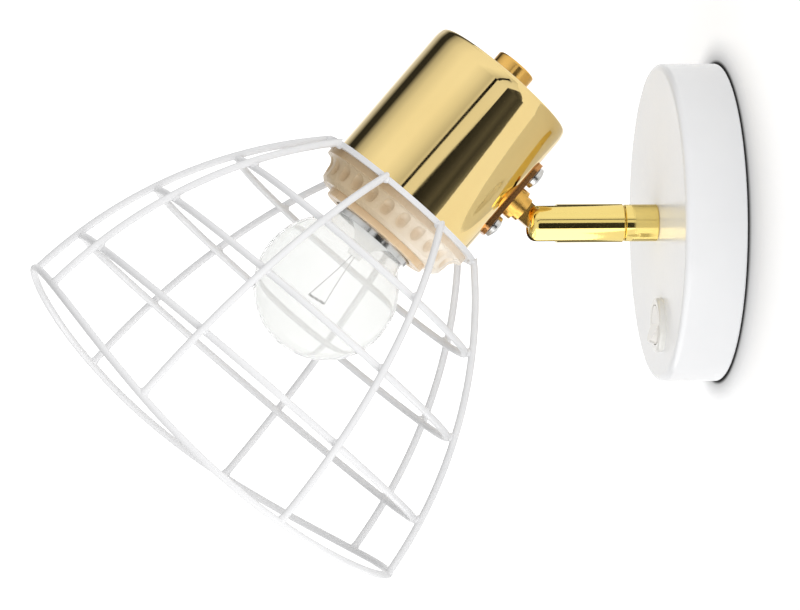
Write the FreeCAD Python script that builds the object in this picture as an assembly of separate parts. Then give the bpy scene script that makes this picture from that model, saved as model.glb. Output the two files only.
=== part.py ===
import FreeCAD, Part
import math
import os

# A wall sconce: a round base with a rocker switch, a short arm that swivels, a slotted knuckle that
# tilts, a polished cup round the lampholder, and a cage of bent wires round a globe bulb.
#
# Lengths are in millimetres and angles in degrees. The wall is the plane Y = 0, the room is towards -Y,
# +Z is up, and the origin is the centre of the base on the wall.
# Base and arm are drawn lying on their backs, with local Z out of the wall and local Y up.
# The head is drawn hanging straight down, with local Z along the cup and local Y towards the arm.
# Its origin is on the cup's axis, level with the knuckle's pivot.

Vector = FreeCAD.Vector
across = Vector(1, 0, 0)
outward = Vector(0, 1, 0)
along = Vector(0, 0, 1)
full_turn = 360.0
half_turn = 180.0
quarter_turn = 90.0

# Clearances
overrun = 1.0                   # how far a cut runs past the face that it opens
fit_gap = 0.05                  # radial room of a fixed piece in its hole
running_gap = 0.05              # radial room of a shaft that turns
head_dome_share = 0.45          # part of a screw head's height that is domed
face_gap = 0.1                  # between faces that slide on each other
weld_gap = 0.02                 # between pieces that are welded or pressed together

# Base
base_diameter = 100.0
base_depth = 19.0
base_wall = 1.2
base_edge_radius = 2.0
base_back_radius = 0.8

# Mounting plate behind the base
plate_thickness = 1.5
plate_room = 1.5                # radial room between the plate's disc and the base
supply_hole_diameter = 20.0
wall_screw_spacing = 60.0
wall_slot_length = 12.0
wall_slot_width = 4.6
tab_width = 12.0
tab_height = 13.0
tab_room = 0.2
rim_screw_diameter = 4.0
rim_screw_length = 5.0
rim_screw_height = 9.0          # above the wall
rim_screw_sink = 0.3
rim_slot_width = 0.8
rim_slot_depth = 1.0

# Terminal block and earth screw on the plate
block_side_room = 20.3           # from the plate's left end to the block's middle
block_rise = 6.0                # above the base's middle
block_width = 14.0
block_length = 21.0
block_height = 11.0
block_round = 1.0
pole_pitch = 13.0
pole_hump_diameter = 7.5
pole_bore_diameter = 4.4
pole_bore_height = 5.0
pole_sleeve_wall = 0.8
pole_screw_diameter = 2.6
pole_screw_pitch = 7.0
pole_screw_length = 4.6
pole_well_diameter = 3.6
block_screw_diameter = 3.0
block_screw_head_diameter = 5.4
block_screw_head_height = 1.6
block_well_depth = 3.0
earth_side_room = 21.3          # from the plate's right end to the screw's middle
earth_rise = 12.0               # above the base's middle
earth_screw_diameter = 4.0
earth_head_diameter = 7.6
earth_head_height = 2.6
earth_washer_diameter = 9.6
earth_washer_thickness = 0.8
earth_screw_tail = 3.4

# Rocker switch in the base's face
switch_side = 7.0               # to the right of the base's middle
switch_edge_room = 18.0         # from the switch's middle up to the level of the base's lower end
bezel_diameter = 17.2
bezel_height = 2.0
bezel_edge_radius = 0.8
switch_body_diameter = 15.0
switch_body_depth = 10.0        # behind the base's face
rocker_radius = 6.2
rocker_room = 0.3
rocker_axis_depth = 1.2         # below the bezel's top
rocker_throw = 22.0
rocker_pin_diameter = 1.8
rocker_pin_length = 0.7
blade_width = 3.2
blade_thickness = 0.8
blade_room = 2.1                # from the mounting plate up to the blades' ends
blade_pitch = 6.0
blade_hole_diameter = 1.3
latch_width = 3.0
latch_depth = 1.0
latch_length = 4.0
latch_room = 0.1

# Arm
collar_diameter = 11.7
collar_length = 10.6
collar_edge = 0.3
tail_diameter = 8.0
tail_nut_across = 13.0
tail_nut_thickness = 4.0
tail_washer_diameter = 14.0
tail_washer_thickness = 0.8
tail_spare = 1.4                # thread that stands past the nut
lead_bore_diameter = 3.6
seam_gap = 0.3
barrel_diameter = 12.2
barrel_edge = 0.3
barrel_chamber_diameter = 9.6
barrel_chamber_spare = 1.2      # behind the spindle's head
pivot_reach = 37.5              # from the base's face to the tilt axis
fork_reach = 3.7                # from the tilt axis to the end of the fork
fork_round = 3.0
slot_depth = 5.4                # from the tilt axis to the bottom of the slot

# Swivel inside the barrel
spindle_diameter = 6.0
spindle_grip = 7.0              # thread held in the collar
spindle_head_diameter = 7.4
spindle_head_height = 1.8
spindle_slot_width = 1.0
spindle_slot_depth = 0.8
bush_length = 3.0
spring_washer_thickness = 0.8
stop_turn = 20.0                # width of each stop as an angle
stop_radius = 4.45              # outer radius of the ear on the spindle's head
stop_room = 0.2                 # radial room between the stops and what they pass

# Knuckle
tongue_thickness = 4.0
tongue_width = 6.7
friction_washer_thickness = 0.3
friction_washer_diameter = 6.4
pivot_screw_diameter = 3.0
pivot_head_diameter = 5.6
pivot_head_height = 1.8
pivot_head_slot = 0.9
pivot_head_slot_depth = 0.8
pivot_seat_depth = 0.9          # of the flat for the head, below the barrel's side
pivot_thread_cover = 1.3        # metal left over the blind end of the thread
boss_diameter = 10.6
boss_height = 2.5
shoulder_diameter = 8.3
shoulder_height = 2.1
boss_edge = 0.3
rivet_diameter = 5.0

# Head
rest_tilt = 41.2                # how far the mouth is raised from straight down
head_axis_offset = 37.7         # from the tilt axis to the cup's axis
cup_diameter = 51.0
cup_wall = 1.0
cup_above_pivot = 26.9
cup_below_pivot = 22.3
cup_crown_radius = 12.0         # of the slow curve that leads into the closed end's edge
cup_crown_turn = 16.0
cup_edge_radius = 1.6
strap_length = 28.4
strap_width = 12.0
strap_thickness = 1.3
strap_corner = 3.0
strap_screw_spacing = 19.9
strap_screw_diameter = 3.5
strap_screw_length = 5.6        # under the head
strap_head_diameter = 7.4
strap_head_height = 2.3
cross_width = 1.1
cross_length = 3.6
cross_depth = 1.4
strap_nut_across = 6.0
strap_nut_thickness = 2.0

# Cap nut and fixing of the lampholder
nipple_diameter = 10.0
nipple_bore_diameter = 7.0
cap_nut_diameter = 13.6
cap_nut_height = 6.2
cap_nut_round = 0.8
cap_nut_foot_diameter = 12.6
cap_nut_foot_height = 1.6
cap_nut_roof = 1.2
holder_nut_across = 14.0
holder_nut_thickness = 3.0
nipple_in_holder = 7.0

# Neck plate and shade ring
neck_overhang = 2.7             # how far the plate stands out past the ring's flange
neck_thickness = 1.7
ring_flange_diameter = 54.4
ring_flange_height = 2.4
ring_shoulder_diameter = 51.0
ring_shoulder_drop = 3.2        # from the ring's top face
ring_middle_diameter = 48.2
ring_middle_drop = 6.1
ring_waist_diameter = 47.2
ring_waist_drop = 9.0
ring_arc_share = 0.12           # bulge of the arcs between flange and middle
ring_foot_diameter = 44.6
ring_height = 10.2
ring_pocket_count = 24
ring_pocket_turn = 5.0          # from +X to the nearest pocket
ring_pocket_radius = 2.6        # of the cutter that makes each finger pocket
ring_pocket_depth = 0.8
ring_pocket_top_drop = 5.5      # from the ring's top face to the upper end of the cutter's middle line
ring_pocket_foot_drop = 6.5

# Lampholder
holder_thread_diameter = 38.0
holder_front_drop = 12.5        # from the neck plate's underside to the holder's mouth
holder_flange_diameter = 46.0
holder_flange_thickness = 2.0
holder_back_diameter = 36.6
holder_wall = 2.0
holder_mouth_diameter = 29.8
holder_lip = 2.6                # length of the narrow mouth
dome_wall = 1.8
dome_skirt = 8.0
dome_neck_diameter = 17.0
dome_neck_height = 4.0
dome_overlap = 3.0              # how far the holder's shell reaches into the dome
core_wall = 1.6
core_floor = 4.0
shell_wall = 0.4
shell_room = 0.25               # between the bulb's thread and the screw shell
contact_width = 5.0
contact_length = 14.0
contact_thickness = 0.8
terminal_spacing = 18.0
terminal_screw_diameter = 3.0
terminal_head_diameter = 5.0
terminal_head_height = 2.0
terminal_screw_length = 3.0

# Bulb
globe_diameter = 45.6
globe_drop = 35.1               # from the neck plate's underside to the globe's centre
bulb_length = 78.0
glass_wall = 0.7
glass_neck_diameter = 26.0
glass_flare_radius = 6.0
cap_thread_diameter = 26.3
cap_thread_depth = 1.1
cap_thread_pitch = 3.6
cap_thread_count = 5
cap_skirt_diameter = 28.6
cap_skirt_length = 4.6
cap_skirt_show = 2.0            # how far the skirt stands out of the holder
cap_taper = 1.6
insulator_top_diameter = 11.0
insulator_height = 3.4
contact_button_diameter = 9.0
contact_button_height = 1.4
stem_tip_drop = 8.0             # from the cap to the tip of the glass stem
stem_diameter = 5.0
filament_drop = 4.6             # from the globe's centre to the filament
filament_span = 18.0
filament_sag = 2.0
filament_wave_count = 3
filament_diameter = 0.5
filament_turn = 13.0
lead_wire_diameter = 0.6
lead_wire_pitch = 2.4

# Cage
wire_diameter = 2.3
cage_depth = 96.4               # from the neck plate's middle to the rim
cage_rim_radius = 73.2
cage_bend_radius = 148.0        # of the wires, from the neck to the rim
cage_ring_depths = [22.2, 46.1, 72.6]
rim_wave = 6.2                  # the rim dips this much at the sides and rises at top and bottom
rim_wave_turn = 7.2
rim_span_count = 8
wire_turns = [23.6, 68.3, 113.0, 165.9, 207.8, 253.2, 299.3, 350.0]

# Values worked out from the sizes above
base_radius = base_diameter / 2
base_inner_radius = base_radius - base_wall
switch_place = Vector(switch_side, switch_edge_room - base_radius, 0)
plate_radius = base_inner_radius - plate_room
block_place = Vector(block_side_room - plate_radius, block_rise, 0)
earth_place = Vector(plate_radius - earth_side_room, earth_rise, 0)
blade_length = base_depth - switch_body_depth - plate_thickness - blade_room
tab_face = math.sqrt(base_inner_radius ** 2 - (tab_width / 2) ** 2) - tab_room
base_inner_depth = base_depth - base_wall
bezel_top = base_depth + bezel_height
rocker_axis = bezel_top - rocker_axis_depth
collar_end = base_depth + collar_length
barrel_start = collar_end + seam_gap
barrel_radius = barrel_diameter / 2
pivot_height = base_depth + pivot_reach
bush_end = barrel_start + bush_length
spring_start = bush_end + face_gap
spindle_head_start = spring_start + spring_washer_thickness
spindle_head_end = spindle_head_start + spindle_head_height
chamber_end = spindle_head_end + barrel_chamber_spare
slot_width = tongue_thickness + 2 * (friction_washer_thickness + face_gap)
cup_radius = cup_diameter / 2
cup_inner_radius = cup_radius - cup_wall
neck_diameter = ring_flange_diameter + 2 * neck_overhang
cup_roof = cup_above_pivot - cup_wall
strap_face = cup_radius + strap_thickness
boss_front = strap_face + boss_height
shoulder_front = boss_front + shoulder_height
neck_top = -cup_below_pivot
neck_bottom = neck_top - neck_thickness
neck_middle = neck_top - neck_thickness / 2
holder_front = neck_bottom - holder_front_drop
holder_thread_radius = holder_thread_diameter / 2
globe_centre = neck_bottom - globe_drop
bulb_tip = globe_centre - globe_diameter / 2 + bulb_length
cap_front = holder_front - cap_skirt_show
wire_radius = wire_diameter / 2
dome_top = cup_roof - holder_nut_thickness
shell_back = bulb_tip + contact_thickness + core_floor
dome_bottom = shell_back - dome_overlap
dome_radius = holder_back_diameter / 2 + dome_wall
quarter_bulge_share = (math.sqrt(2) - 1) / 2    # bulge of a quarter circle


def cylinder(radius, start, end, place=Vector(0, 0, 0), direction=along):
    """A round bar from start to end, measured along its direction from its place."""
    return Part.makeCylinder(radius, end - start, place + direction * start, direction)


def ring(outer, inner, start, end, place=Vector(0, 0, 0), direction=along):
    """A round bar with a bore that runs right through."""
    bore = cylinder(inner, start - overrun, end + overrun, place, direction)
    return cylinder(outer, start, end, place, direction).cut(bore)


def block(width, length, start, end, place=Vector(0, 0, 0)):
    """An upright box, centred on its place in X and Y."""
    corner = place + Vector(-width / 2, -length / 2, start)
    return Part.makeBox(width, length, end - start, corner)


def round_bar(start, end, radius):
    """A straight round bar between two points."""
    run = end - start
    return Part.makeCylinder(radius, run.Length, start, run)


def hexagon(across_flats, start, end, place=Vector(0, 0, 0), direction=along, side=across):
    """A six-sided bar, whose first corner points to the side."""
    reach = across_flats / 2 / math.cos(math.pi / 6)
    other = direction.cross(side)
    corners = []
    for step in range(7):
        turn = step * math.pi / 3
        spoke = side * math.cos(turn) + other * math.sin(turn)
        corners.append(place + direction * start + spoke * reach)
    return Part.Face(Part.makePolygon(corners)).extrude(direction * (end - start))


def nut(across_flats, bore, start, end, place=Vector(0, 0, 0), direction=along, side=across):
    """A hexagon nut whose corners are turned off towards its end."""
    body = hexagon(across_flats, start, end, place, direction, side)
    flat = across_flats / 2
    spare = flat / math.cos(math.pi / 6) - flat
    height = end - start
    cone = Part.makeCone(flat + height, flat + spare / 2, height, place + direction * start, direction)
    body = body.common(cone)
    return body.cut(cylinder(bore, start - overrun, end + overrun, place, direction))


def turned(outline):
    """A solid of revolution about Z. The outline holds (radius, height) points in order. An item of
    three values is a point reached by an arc, whose last value is the bulge of the arc as a share of
    its chord, positive to the left of the way that the outline goes."""
    corners = [Vector(item[0], 0, item[1]) for item in outline]
    edges = []
    for index, item in enumerate(outline):
        before = corners[index - 1]
        here = corners[index]
        if before.distanceToPoint(here) == 0:
            continue
        if len(item) == 2:
            edges.append(Part.LineSegment(before, here).toShape())
            continue
        chord = here - before
        left = Vector(-chord.z, 0, chord.x)
        middle = (before + here) / 2 + left * item[2]
        edges.append(Part.Arc(before, middle, here).toShape())
    return Part.Face(Part.Wire(edges)).revolve(Vector(0, 0, 0), along, full_turn)


def edges_at(shape, height, radius):
    """The round edges that lie at one height and reach one radius from the Z axis."""
    found = []
    for edge in shape.Edges:
        box = edge.BoundBox
        level = abs(box.ZMin - height) < weld_gap and abs(box.ZMax - height) < weld_gap
        if level and abs(box.XMax - radius) < weld_gap:
            found.append(edge)
    return found


def on_wall(shape):
    """Stands a piece of the base or arm, drawn on its back, out of the wall."""
    return shape.rotated(Vector(0, 0, 0), across, quarter_turn)


def on_head(shape):
    """Puts a piece of the head, drawn hanging down, on the knuckle at its resting tilt."""
    pivot = Vector(0, head_axis_offset, 0)
    placed = shape.translated(-pivot).rotated(Vector(0, 0, 0), across, -rest_tilt)
    return placed.translated(Vector(0, -pivot_height, 0))


def pan_head(diameter, height, start, place, direction):
    """A low domed screw head on its seat."""
    radius = diameter / 2
    rise = height * head_dome_share
    dome_radius = (radius ** 2 + rise ** 2) / (2 * rise)
    body = cylinder(radius, start, start + height, place, direction)
    dome = Part.makeSphere(dome_radius, place + direction * (start + height - dome_radius))
    return body.common(dome)


# Base and what it holds

def mounting_plate():
    """A steel disc against the wall, with slots for the wall screws, a hole for the supply and two tabs."""
    disc = cylinder(plate_radius, 0, plate_thickness)
    for side in (1, -1):
        foot = block(tab_width, tab_face, 0, plate_thickness, Vector(0, side * tab_face / 2, 0))
        upright = block(tab_width, plate_thickness, 0, tab_height,
                        Vector(0, side * (tab_face - plate_thickness / 2), 0))
        disc = disc.fuse(foot).fuse(upright)
    disc = disc.removeSplitter()
    disc = disc.cut(cylinder(supply_hole_diameter / 2, -overrun, plate_thickness + overrun))
    slot_run = wall_slot_length - wall_slot_width
    for side in (1, -1):
        middle = Vector(0, side * wall_screw_spacing / 2, 0)
        slot = block(wall_slot_width, slot_run, -overrun, plate_thickness + overrun, middle)
        for end in (1, -1):
            round_end = middle + Vector(0, end * slot_run / 2, 0)
            slot = slot.fuse(cylinder(wall_slot_width / 2, -overrun, plate_thickness + overrun, round_end))
        disc = disc.cut(slot)
        thread = cylinder(rim_screw_diameter / 2 + fit_gap, 0, base_radius, Vector(0, 0, rim_screw_height),
                          outward * side)
        disc = disc.cut(thread)
    for place, diameter in ((block_place, block_screw_diameter), (earth_place, earth_screw_diameter)):
        disc = disc.cut(cylinder(diameter / 2 + fit_gap, -overrun, plate_thickness + overrun, place))
    return on_wall(disc)


def base_shell():
    """The white base, a shallow cup with a soft front edge, open towards the wall."""
    bore = tail_diameter / 2 + fit_gap
    edge = base_edge_radius
    inner_edge = edge - base_wall
    back = base_back_radius
    bulge = quarter_bulge_share
    body = turned([(bore, base_inner_depth), (base_inner_radius - inner_edge, base_inner_depth),
                   (base_inner_radius, base_inner_depth - inner_edge, bulge), (base_inner_radius, 0),
                   (base_radius - back, 0), (base_radius, back, -bulge), (base_radius, base_depth - edge),
                   (base_radius - edge, base_depth, -bulge), (bore, base_depth)])
    body = body.cut(cylinder(switch_body_diameter / 2 + fit_gap, 0, base_depth + overrun, switch_place))
    for side in (1, -1):
        hole = cylinder(rim_screw_diameter / 2 + fit_gap, base_inner_radius - overrun, base_radius + overrun,
                        Vector(0, 0, rim_screw_height), outward * side)
        body = body.cut(hole)
    return on_wall(body)


def rim_screws():
    """Two headless screws that hold the base on the tabs of the plate."""
    pieces = []
    end = base_radius - rim_screw_sink
    for side in (1, -1):
        middle = Vector(0, 0, rim_screw_height)
        screw = cylinder(rim_screw_diameter / 2, end - rim_screw_length, end, middle, outward * side)
        slot_place = middle + outward * side * (end - rim_slot_depth / 2 + overrun / 2)
        half = rim_slot_width / 2
        slot = block(rim_screw_diameter + overrun, rim_slot_depth + overrun, -half, half, slot_place)
        pieces.append(screw.cut(slot))
    return on_wall(Part.makeCompound(pieces))


def pole_places():
    """The middle of each pole of the terminal block."""
    return [block_place + Vector(0, side * pole_pitch / 2, 0) for side in (1, -1)]


def terminal_block():
    """A moulded block with two poles and a well between them for its fixing screw."""
    bottom = plate_thickness
    top = bottom + block_height
    body = block(block_width, block_length, bottom, bottom + block_height / 2, block_place)
    for place in pole_places():
        hump = block(block_width, pole_hump_diameter, bottom, top, place)
        body = body.fuse(hump)
    body = body.removeSplitter()
    for place in pole_places():
        bore = cylinder(pole_bore_diameter / 2 + fit_gap, -block_width, block_width,
                        place + Vector(0, 0, bottom + pole_bore_height), across)
        body = body.cut(bore)
        for side in (1, -1):
            well = cylinder(pole_well_diameter / 2, bottom + pole_bore_height, top + overrun,
                            place + Vector(side * pole_screw_pitch / 2, 0, 0))
            body = body.cut(well)
    body = body.cut(cylinder(block_screw_diameter / 2 + fit_gap, 0, top, block_place))
    well_floor = bottom + block_height / 2 - block_well_depth
    body = body.cut(cylinder(block_screw_head_diameter / 2 + fit_gap, well_floor, top + overrun, block_place))
    return on_wall(body)


def terminal_sleeves():
    """The brass sleeves of the terminal block, one through each pole."""
    pieces = []
    for place in pole_places():
        middle = place + Vector(0, 0, plate_thickness + pole_bore_height)
        half = block_width / 2 - block_round
        sleeve = ring(pole_bore_diameter / 2, pole_bore_diameter / 2 - pole_sleeve_wall, -half, half, middle,
                      across)
        for side in (1, -1):
            thread = cylinder(pole_screw_diameter / 2 + fit_gap, 0, pole_bore_diameter,
                              middle + Vector(side * pole_screw_pitch / 2, 0, 0))
            sleeve = sleeve.cut(thread)
        pieces.append(sleeve)
    return on_wall(Part.makeCompound(pieces))


def terminal_screws():
    """The clamping screws of the terminal block, two in each pole."""
    pieces = []
    bottom = plate_thickness + pole_bore_height + pole_bore_diameter / 2 - pole_sleeve_wall
    for place in pole_places():
        for side in (1, -1):
            middle = place + Vector(side * pole_screw_pitch / 2, 0, 0)
            screw = cylinder(pole_screw_diameter / 2, bottom, bottom + pole_screw_length, middle)
            slot = block(pole_screw_diameter + overrun, rim_slot_width,
                         bottom + pole_screw_length - rim_slot_depth,
                         bottom + pole_screw_length + overrun, middle)
            pieces.append(screw.cut(slot))
    return on_wall(Part.makeCompound(pieces))


def block_screw():
    """The screw that fixes the terminal block to the plate."""
    seat = plate_thickness + block_height / 2 - block_well_depth
    head = pan_head(block_screw_head_diameter, block_screw_head_height, seat, block_place, along)
    screw = head.fuse(cylinder(block_screw_diameter / 2, 0, seat, block_place))
    slot = block(block_screw_head_diameter + overrun, rim_slot_width,
                 seat + block_screw_head_height - rim_slot_depth,
                 seat + block_screw_head_height + overrun, block_place)
    return on_wall(screw.cut(slot))


def earth_washer():
    """The washer that clamps the earth wire on the plate."""
    washer = ring(earth_washer_diameter / 2, earth_screw_diameter / 2 + fit_gap, plate_thickness,
                  plate_thickness + earth_washer_thickness, earth_place)
    return on_wall(washer)


def earth_screw():
    """The earth screw of the plate."""
    seat = plate_thickness + earth_washer_thickness
    head = pan_head(earth_head_diameter, earth_head_height, seat, earth_place, along)
    screw = head.fuse(cylinder(earth_screw_diameter / 2, 0, seat, earth_place))
    top = seat + earth_head_height
    for width, length in ((cross_width, cross_length), (cross_length, cross_width)):
        screw = screw.cut(block(width, length, top - cross_depth, top + overrun, earth_place))
    return on_wall(screw)


def switch_latch(side):
    """One of the wedges that snap out behind the base's face and keep the switch in."""
    top = base_inner_depth - latch_room
    foot = switch_body_diameter / 2 - latch_depth
    tip = switch_body_diameter / 2 + latch_depth
    corners = [(foot, top - latch_length), (foot, top), (tip, top), (foot, top - latch_length)]
    outline = Part.makePolygon([Vector(-latch_width / 2, side * reach, height) for reach, height in corners])
    return Part.Face(outline).extrude(across * latch_width)


def switch_body():
    """The round switch body, pushed through the base's face, with its bezel in front."""
    bezel = cylinder(bezel_diameter / 2, base_depth, bezel_top)
    bezel = bezel.makeFillet(bezel_edge_radius, edges_at(bezel, bezel_top, bezel_diameter / 2))
    body = bezel.fuse(cylinder(switch_body_diameter / 2, base_depth - switch_body_depth, base_depth))
    body = body.removeSplitter()
    body = body.translated(switch_place)
    axis_place = switch_place + Vector(0, 0, rocker_axis)
    body = body.cut(Part.makeSphere(rocker_radius + rocker_room, axis_place))
    reach = rocker_radius + rocker_pin_length + running_gap
    body = body.cut(cylinder(rocker_pin_diameter / 2 + running_gap, -reach, reach, axis_place, across))
    root = base_depth - switch_body_depth
    for side in (1, -1):
        body = body.fuse(switch_latch(side).translated(switch_place))
        socket = block(blade_width + 2 * fit_gap, blade_thickness + 2 * fit_gap, root - overrun,
                       root + overrun, switch_place + Vector(0, side * blade_pitch / 2, 0))
        body = body.cut(socket)
    return on_wall(body)


def switch_blades():
    """The two terminal blades at the back of the switch."""
    pieces = []
    root = base_depth - switch_body_depth
    for side in (1, -1):
        place = switch_place + Vector(0, side * blade_pitch / 2, 0)
        blade = block(blade_width, blade_thickness, root - blade_length, root + overrun - fit_gap, place)
        eye = cylinder(blade_hole_diameter / 2, -blade_thickness, blade_thickness,
                       place + Vector(0, 0, root - blade_length + blade_width / 2), outward)
        pieces.append(blade.cut(eye))
    return on_wall(Part.makeCompound(pieces))


def switch_rocker():
    """The round rocker, part of a ball with two slanting faces, resting with its lower end proud."""
    ball = Part.makeSphere(rocker_radius)
    reach = 2 * rocker_radius
    for side in (1, -1):
        lid = Part.makeBox(2 * reach, reach, reach, Vector(-reach, 0, 0))
        if side < 0:
            lid = lid.mirror(Vector(0, 0, 0), outward)
        lid = lid.rotated(Vector(0, 0, 0), across, side * rocker_throw / 2)
        ball = ball.cut(lid.translated(Vector(0, 0, rocker_axis_depth)))
    pin_end = rocker_radius + rocker_pin_length
    ball = ball.fuse(cylinder(rocker_pin_diameter / 2, -pin_end, pin_end, direction=across))
    ball = ball.rotated(Vector(0, 0, 0), across, -rocker_throw / 2)
    return on_wall(ball.translated(switch_place + Vector(0, 0, rocker_axis)))


# Arm

def tail_nut():
    """The nut that pulls the arm against the base's face from inside."""
    end = base_inner_depth - tail_washer_thickness
    body = nut(tail_nut_across, tail_diameter / 2 + fit_gap, 0, tail_nut_thickness)
    body = body.rotated(Vector(0, 0, 0), across, half_turn).translated(Vector(0, 0, end))
    return on_wall(body)


def tail_washer():
    """The washer under the nut of the arm."""
    start = base_inner_depth - tail_washer_thickness
    return on_wall(ring(tail_washer_diameter / 2, tail_diameter / 2 + fit_gap, start, base_inner_depth))


def arm_collar():
    """The fixed collar of the arm, turned in one with the threaded tail that goes through the base."""
    tail_end = base_inner_depth - tail_washer_thickness - tail_nut_thickness - tail_spare
    body = cylinder(collar_diameter / 2, base_depth, collar_end)
    for height in (base_depth, collar_end):
        body = body.makeChamfer(collar_edge, edges_at(body, height, collar_diameter / 2))
    body = body.fuse(cylinder(tail_diameter / 2, tail_end, base_depth)).removeSplitter()
    body = body.cut(cylinder(lead_bore_diameter / 2, tail_end - overrun, collar_end + overrun))
    grip_start = collar_end - spindle_grip
    body = body.cut(cylinder(spindle_diameter / 2 + fit_gap, grip_start, collar_end + overrun))
    return on_wall(body)


def stop_sector(inner, outer, start, end, middle_turn):
    """A ring sector, one stop wide, round the arm's axis."""
    profile = block(outer - inner, face_gap, start, end, Vector((inner + outer) / 2, 0, 0))
    face = [side for side in profile.Faces if side.normalAt(0, 0).y < 0][0]
    face = face.translated(Vector(0, face_gap / 2, 0))
    sector = face.revolve(Vector(0, 0, 0), along, stop_turn)
    return sector.rotated(Vector(0, 0, 0), along, middle_turn - stop_turn / 2)


def swivel_spindle():
    """The hollow shoulder screw that the barrel turns on, with an ear that stops the turn."""
    start = collar_end - spindle_grip
    body = cylinder(spindle_diameter / 2, start, spindle_head_start)
    body = body.fuse(cylinder(spindle_head_diameter / 2, spindle_head_start, spindle_head_end))
    ear = stop_sector(spindle_diameter / 2, stop_radius, spindle_head_start, spindle_head_end, quarter_turn)
    body = body.fuse(ear).removeSplitter()
    body = body.cut(cylinder(lead_bore_diameter / 2, start - overrun, spindle_head_end + overrun))
    slot = block(spindle_slot_width, spindle_head_diameter + overrun, spindle_head_end - spindle_slot_depth,
                 spindle_head_end + overrun)
    return on_wall(body.cut(slot.rotated(Vector(0, 0, 0), along, quarter_turn)))


def swivel_washer():
    """The spring washer under the spindle's head, which gives the swivel its friction."""
    washer = ring(spindle_head_diameter / 2, spindle_diameter / 2 + fit_gap, spring_start, spindle_head_start)
    return on_wall(washer)


def swivel_bush():
    """The bush pressed in the barrel's end, which turns on the spindle, with a lug that meets the ear."""
    outer = barrel_chamber_diameter / 2 - fit_gap
    body = ring(outer, spindle_diameter / 2 + running_gap, barrel_start, bush_end)
    lug = stop_sector(spindle_head_diameter / 2 + stop_room, outer, bush_end, spindle_head_end, -quarter_turn)
    return on_wall(body.fuse(lug).removeSplitter())


def arm_barrel():
    """The turned barrel of the arm, bored for the swivel and slotted as a fork for the knuckle."""
    fork_end = pivot_height + fork_reach
    edge = barrel_edge
    body = turned([(0, barrel_start), (barrel_radius - edge, barrel_start),
                   (barrel_radius, barrel_start + edge), (barrel_radius, fork_end - fork_round),
                   (barrel_radius - fork_round, fork_end, -quarter_bulge_share), (0, fork_end)])
    body = body.cut(cylinder(barrel_chamber_diameter / 2, barrel_start - overrun, chamber_end))
    slot_bottom = pivot_height - slot_depth
    body = body.cut(cylinder(lead_bore_diameter / 2, chamber_end - overrun, slot_bottom + overrun))
    body = body.cut(block(slot_width, barrel_diameter + overrun, slot_bottom, fork_end + overrun))
    pivot = Vector(0, 0, pivot_height)
    seat = barrel_radius - pivot_seat_depth
    bore_end = barrel_radius - pivot_thread_cover
    bore = cylinder(pivot_screw_diameter / 2 + fit_gap, -seat - overrun, bore_end, pivot, across)
    flat = cylinder(pivot_head_diameter / 2 + fit_gap, seat, barrel_radius + overrun, pivot, -across)
    return on_wall(body.cut(bore).cut(flat))


def pivot_screw():
    """The screw that the knuckle tilts on, with its head on the side away from the switch."""
    pivot = Vector(0, 0, pivot_height)
    seat = barrel_radius - pivot_seat_depth
    shank_end = barrel_radius - pivot_thread_cover - face_gap
    shank = cylinder(pivot_screw_diameter / 2, -seat, shank_end, pivot, across)
    head_end = seat + pivot_head_height
    head = cylinder(pivot_head_diameter / 2, seat, head_end, pivot, -across)
    half = pivot_head_slot / 2
    slot_place = pivot - across * head_end
    slot = block(2 * pivot_head_slot_depth, pivot_head_diameter + overrun, -half, half, slot_place)
    return on_wall(shank.fuse(head).cut(slot))


def friction_washers():
    """Thin washers between the tongue and the cheeks of the fork."""
    pieces = []
    pivot = Vector(0, 0, pivot_height)
    start = slot_width / 2 - friction_washer_thickness
    bore = pivot_screw_diameter / 2 + fit_gap
    for side in (across, -across):
        pieces.append(ring(friction_washer_diameter / 2, bore, start, slot_width / 2, pivot, side))
    return on_wall(Part.makeCompound(pieces))


# Head

def knuckle():
    """The tongue that tilts in the fork, with its boss riveted through the strap."""
    pivot = Vector(0, head_axis_offset, 0)
    tongue = cylinder(tongue_width / 2, -tongue_thickness / 2, tongue_thickness / 2, pivot, across)
    reach = head_axis_offset - shoulder_front
    web = Part.makeBox(tongue_thickness, reach, tongue_width,
                       Vector(-tongue_thickness / 2, shoulder_front, -tongue_width / 2))
    body = tongue.fuse(web)
    boss = cylinder(boss_diameter / 2, strap_face, boss_front, direction=outward)
    shoulder = cylinder(shoulder_diameter / 2, boss_front, shoulder_front, direction=outward)
    rivet = cylinder(rivet_diameter / 2, cup_radius, strap_face, direction=outward)
    root = cylinder(boss_diameter / 2, cup_radius, strap_face, direction=outward)
    root = root.cut(cylinder(strap_face, -boss_diameter, boss_diameter))
    body = body.fuse(shoulder).fuse(boss).fuse(root).fuse(rivet)
    body = body.cut(cylinder(cup_radius + weld_gap, -boss_diameter, boss_diameter))
    body = body.removeSplitter()
    bore = pivot_screw_diameter / 2 + running_gap
    return on_head(body.cut(cylinder(bore, -tongue_thickness, tongue_thickness, pivot, across)))


def strap_holes(shape, radius):
    """Bores the two screw holes of the strap through a piece."""
    for side in (1, -1):
        place = Vector(0, 0, side * strap_screw_spacing / 2)
        shape = shape.cut(cylinder(radius, cup_radius - strap_screw_length, strap_face + overrun, place,
                                   outward))
    return shape


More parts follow.
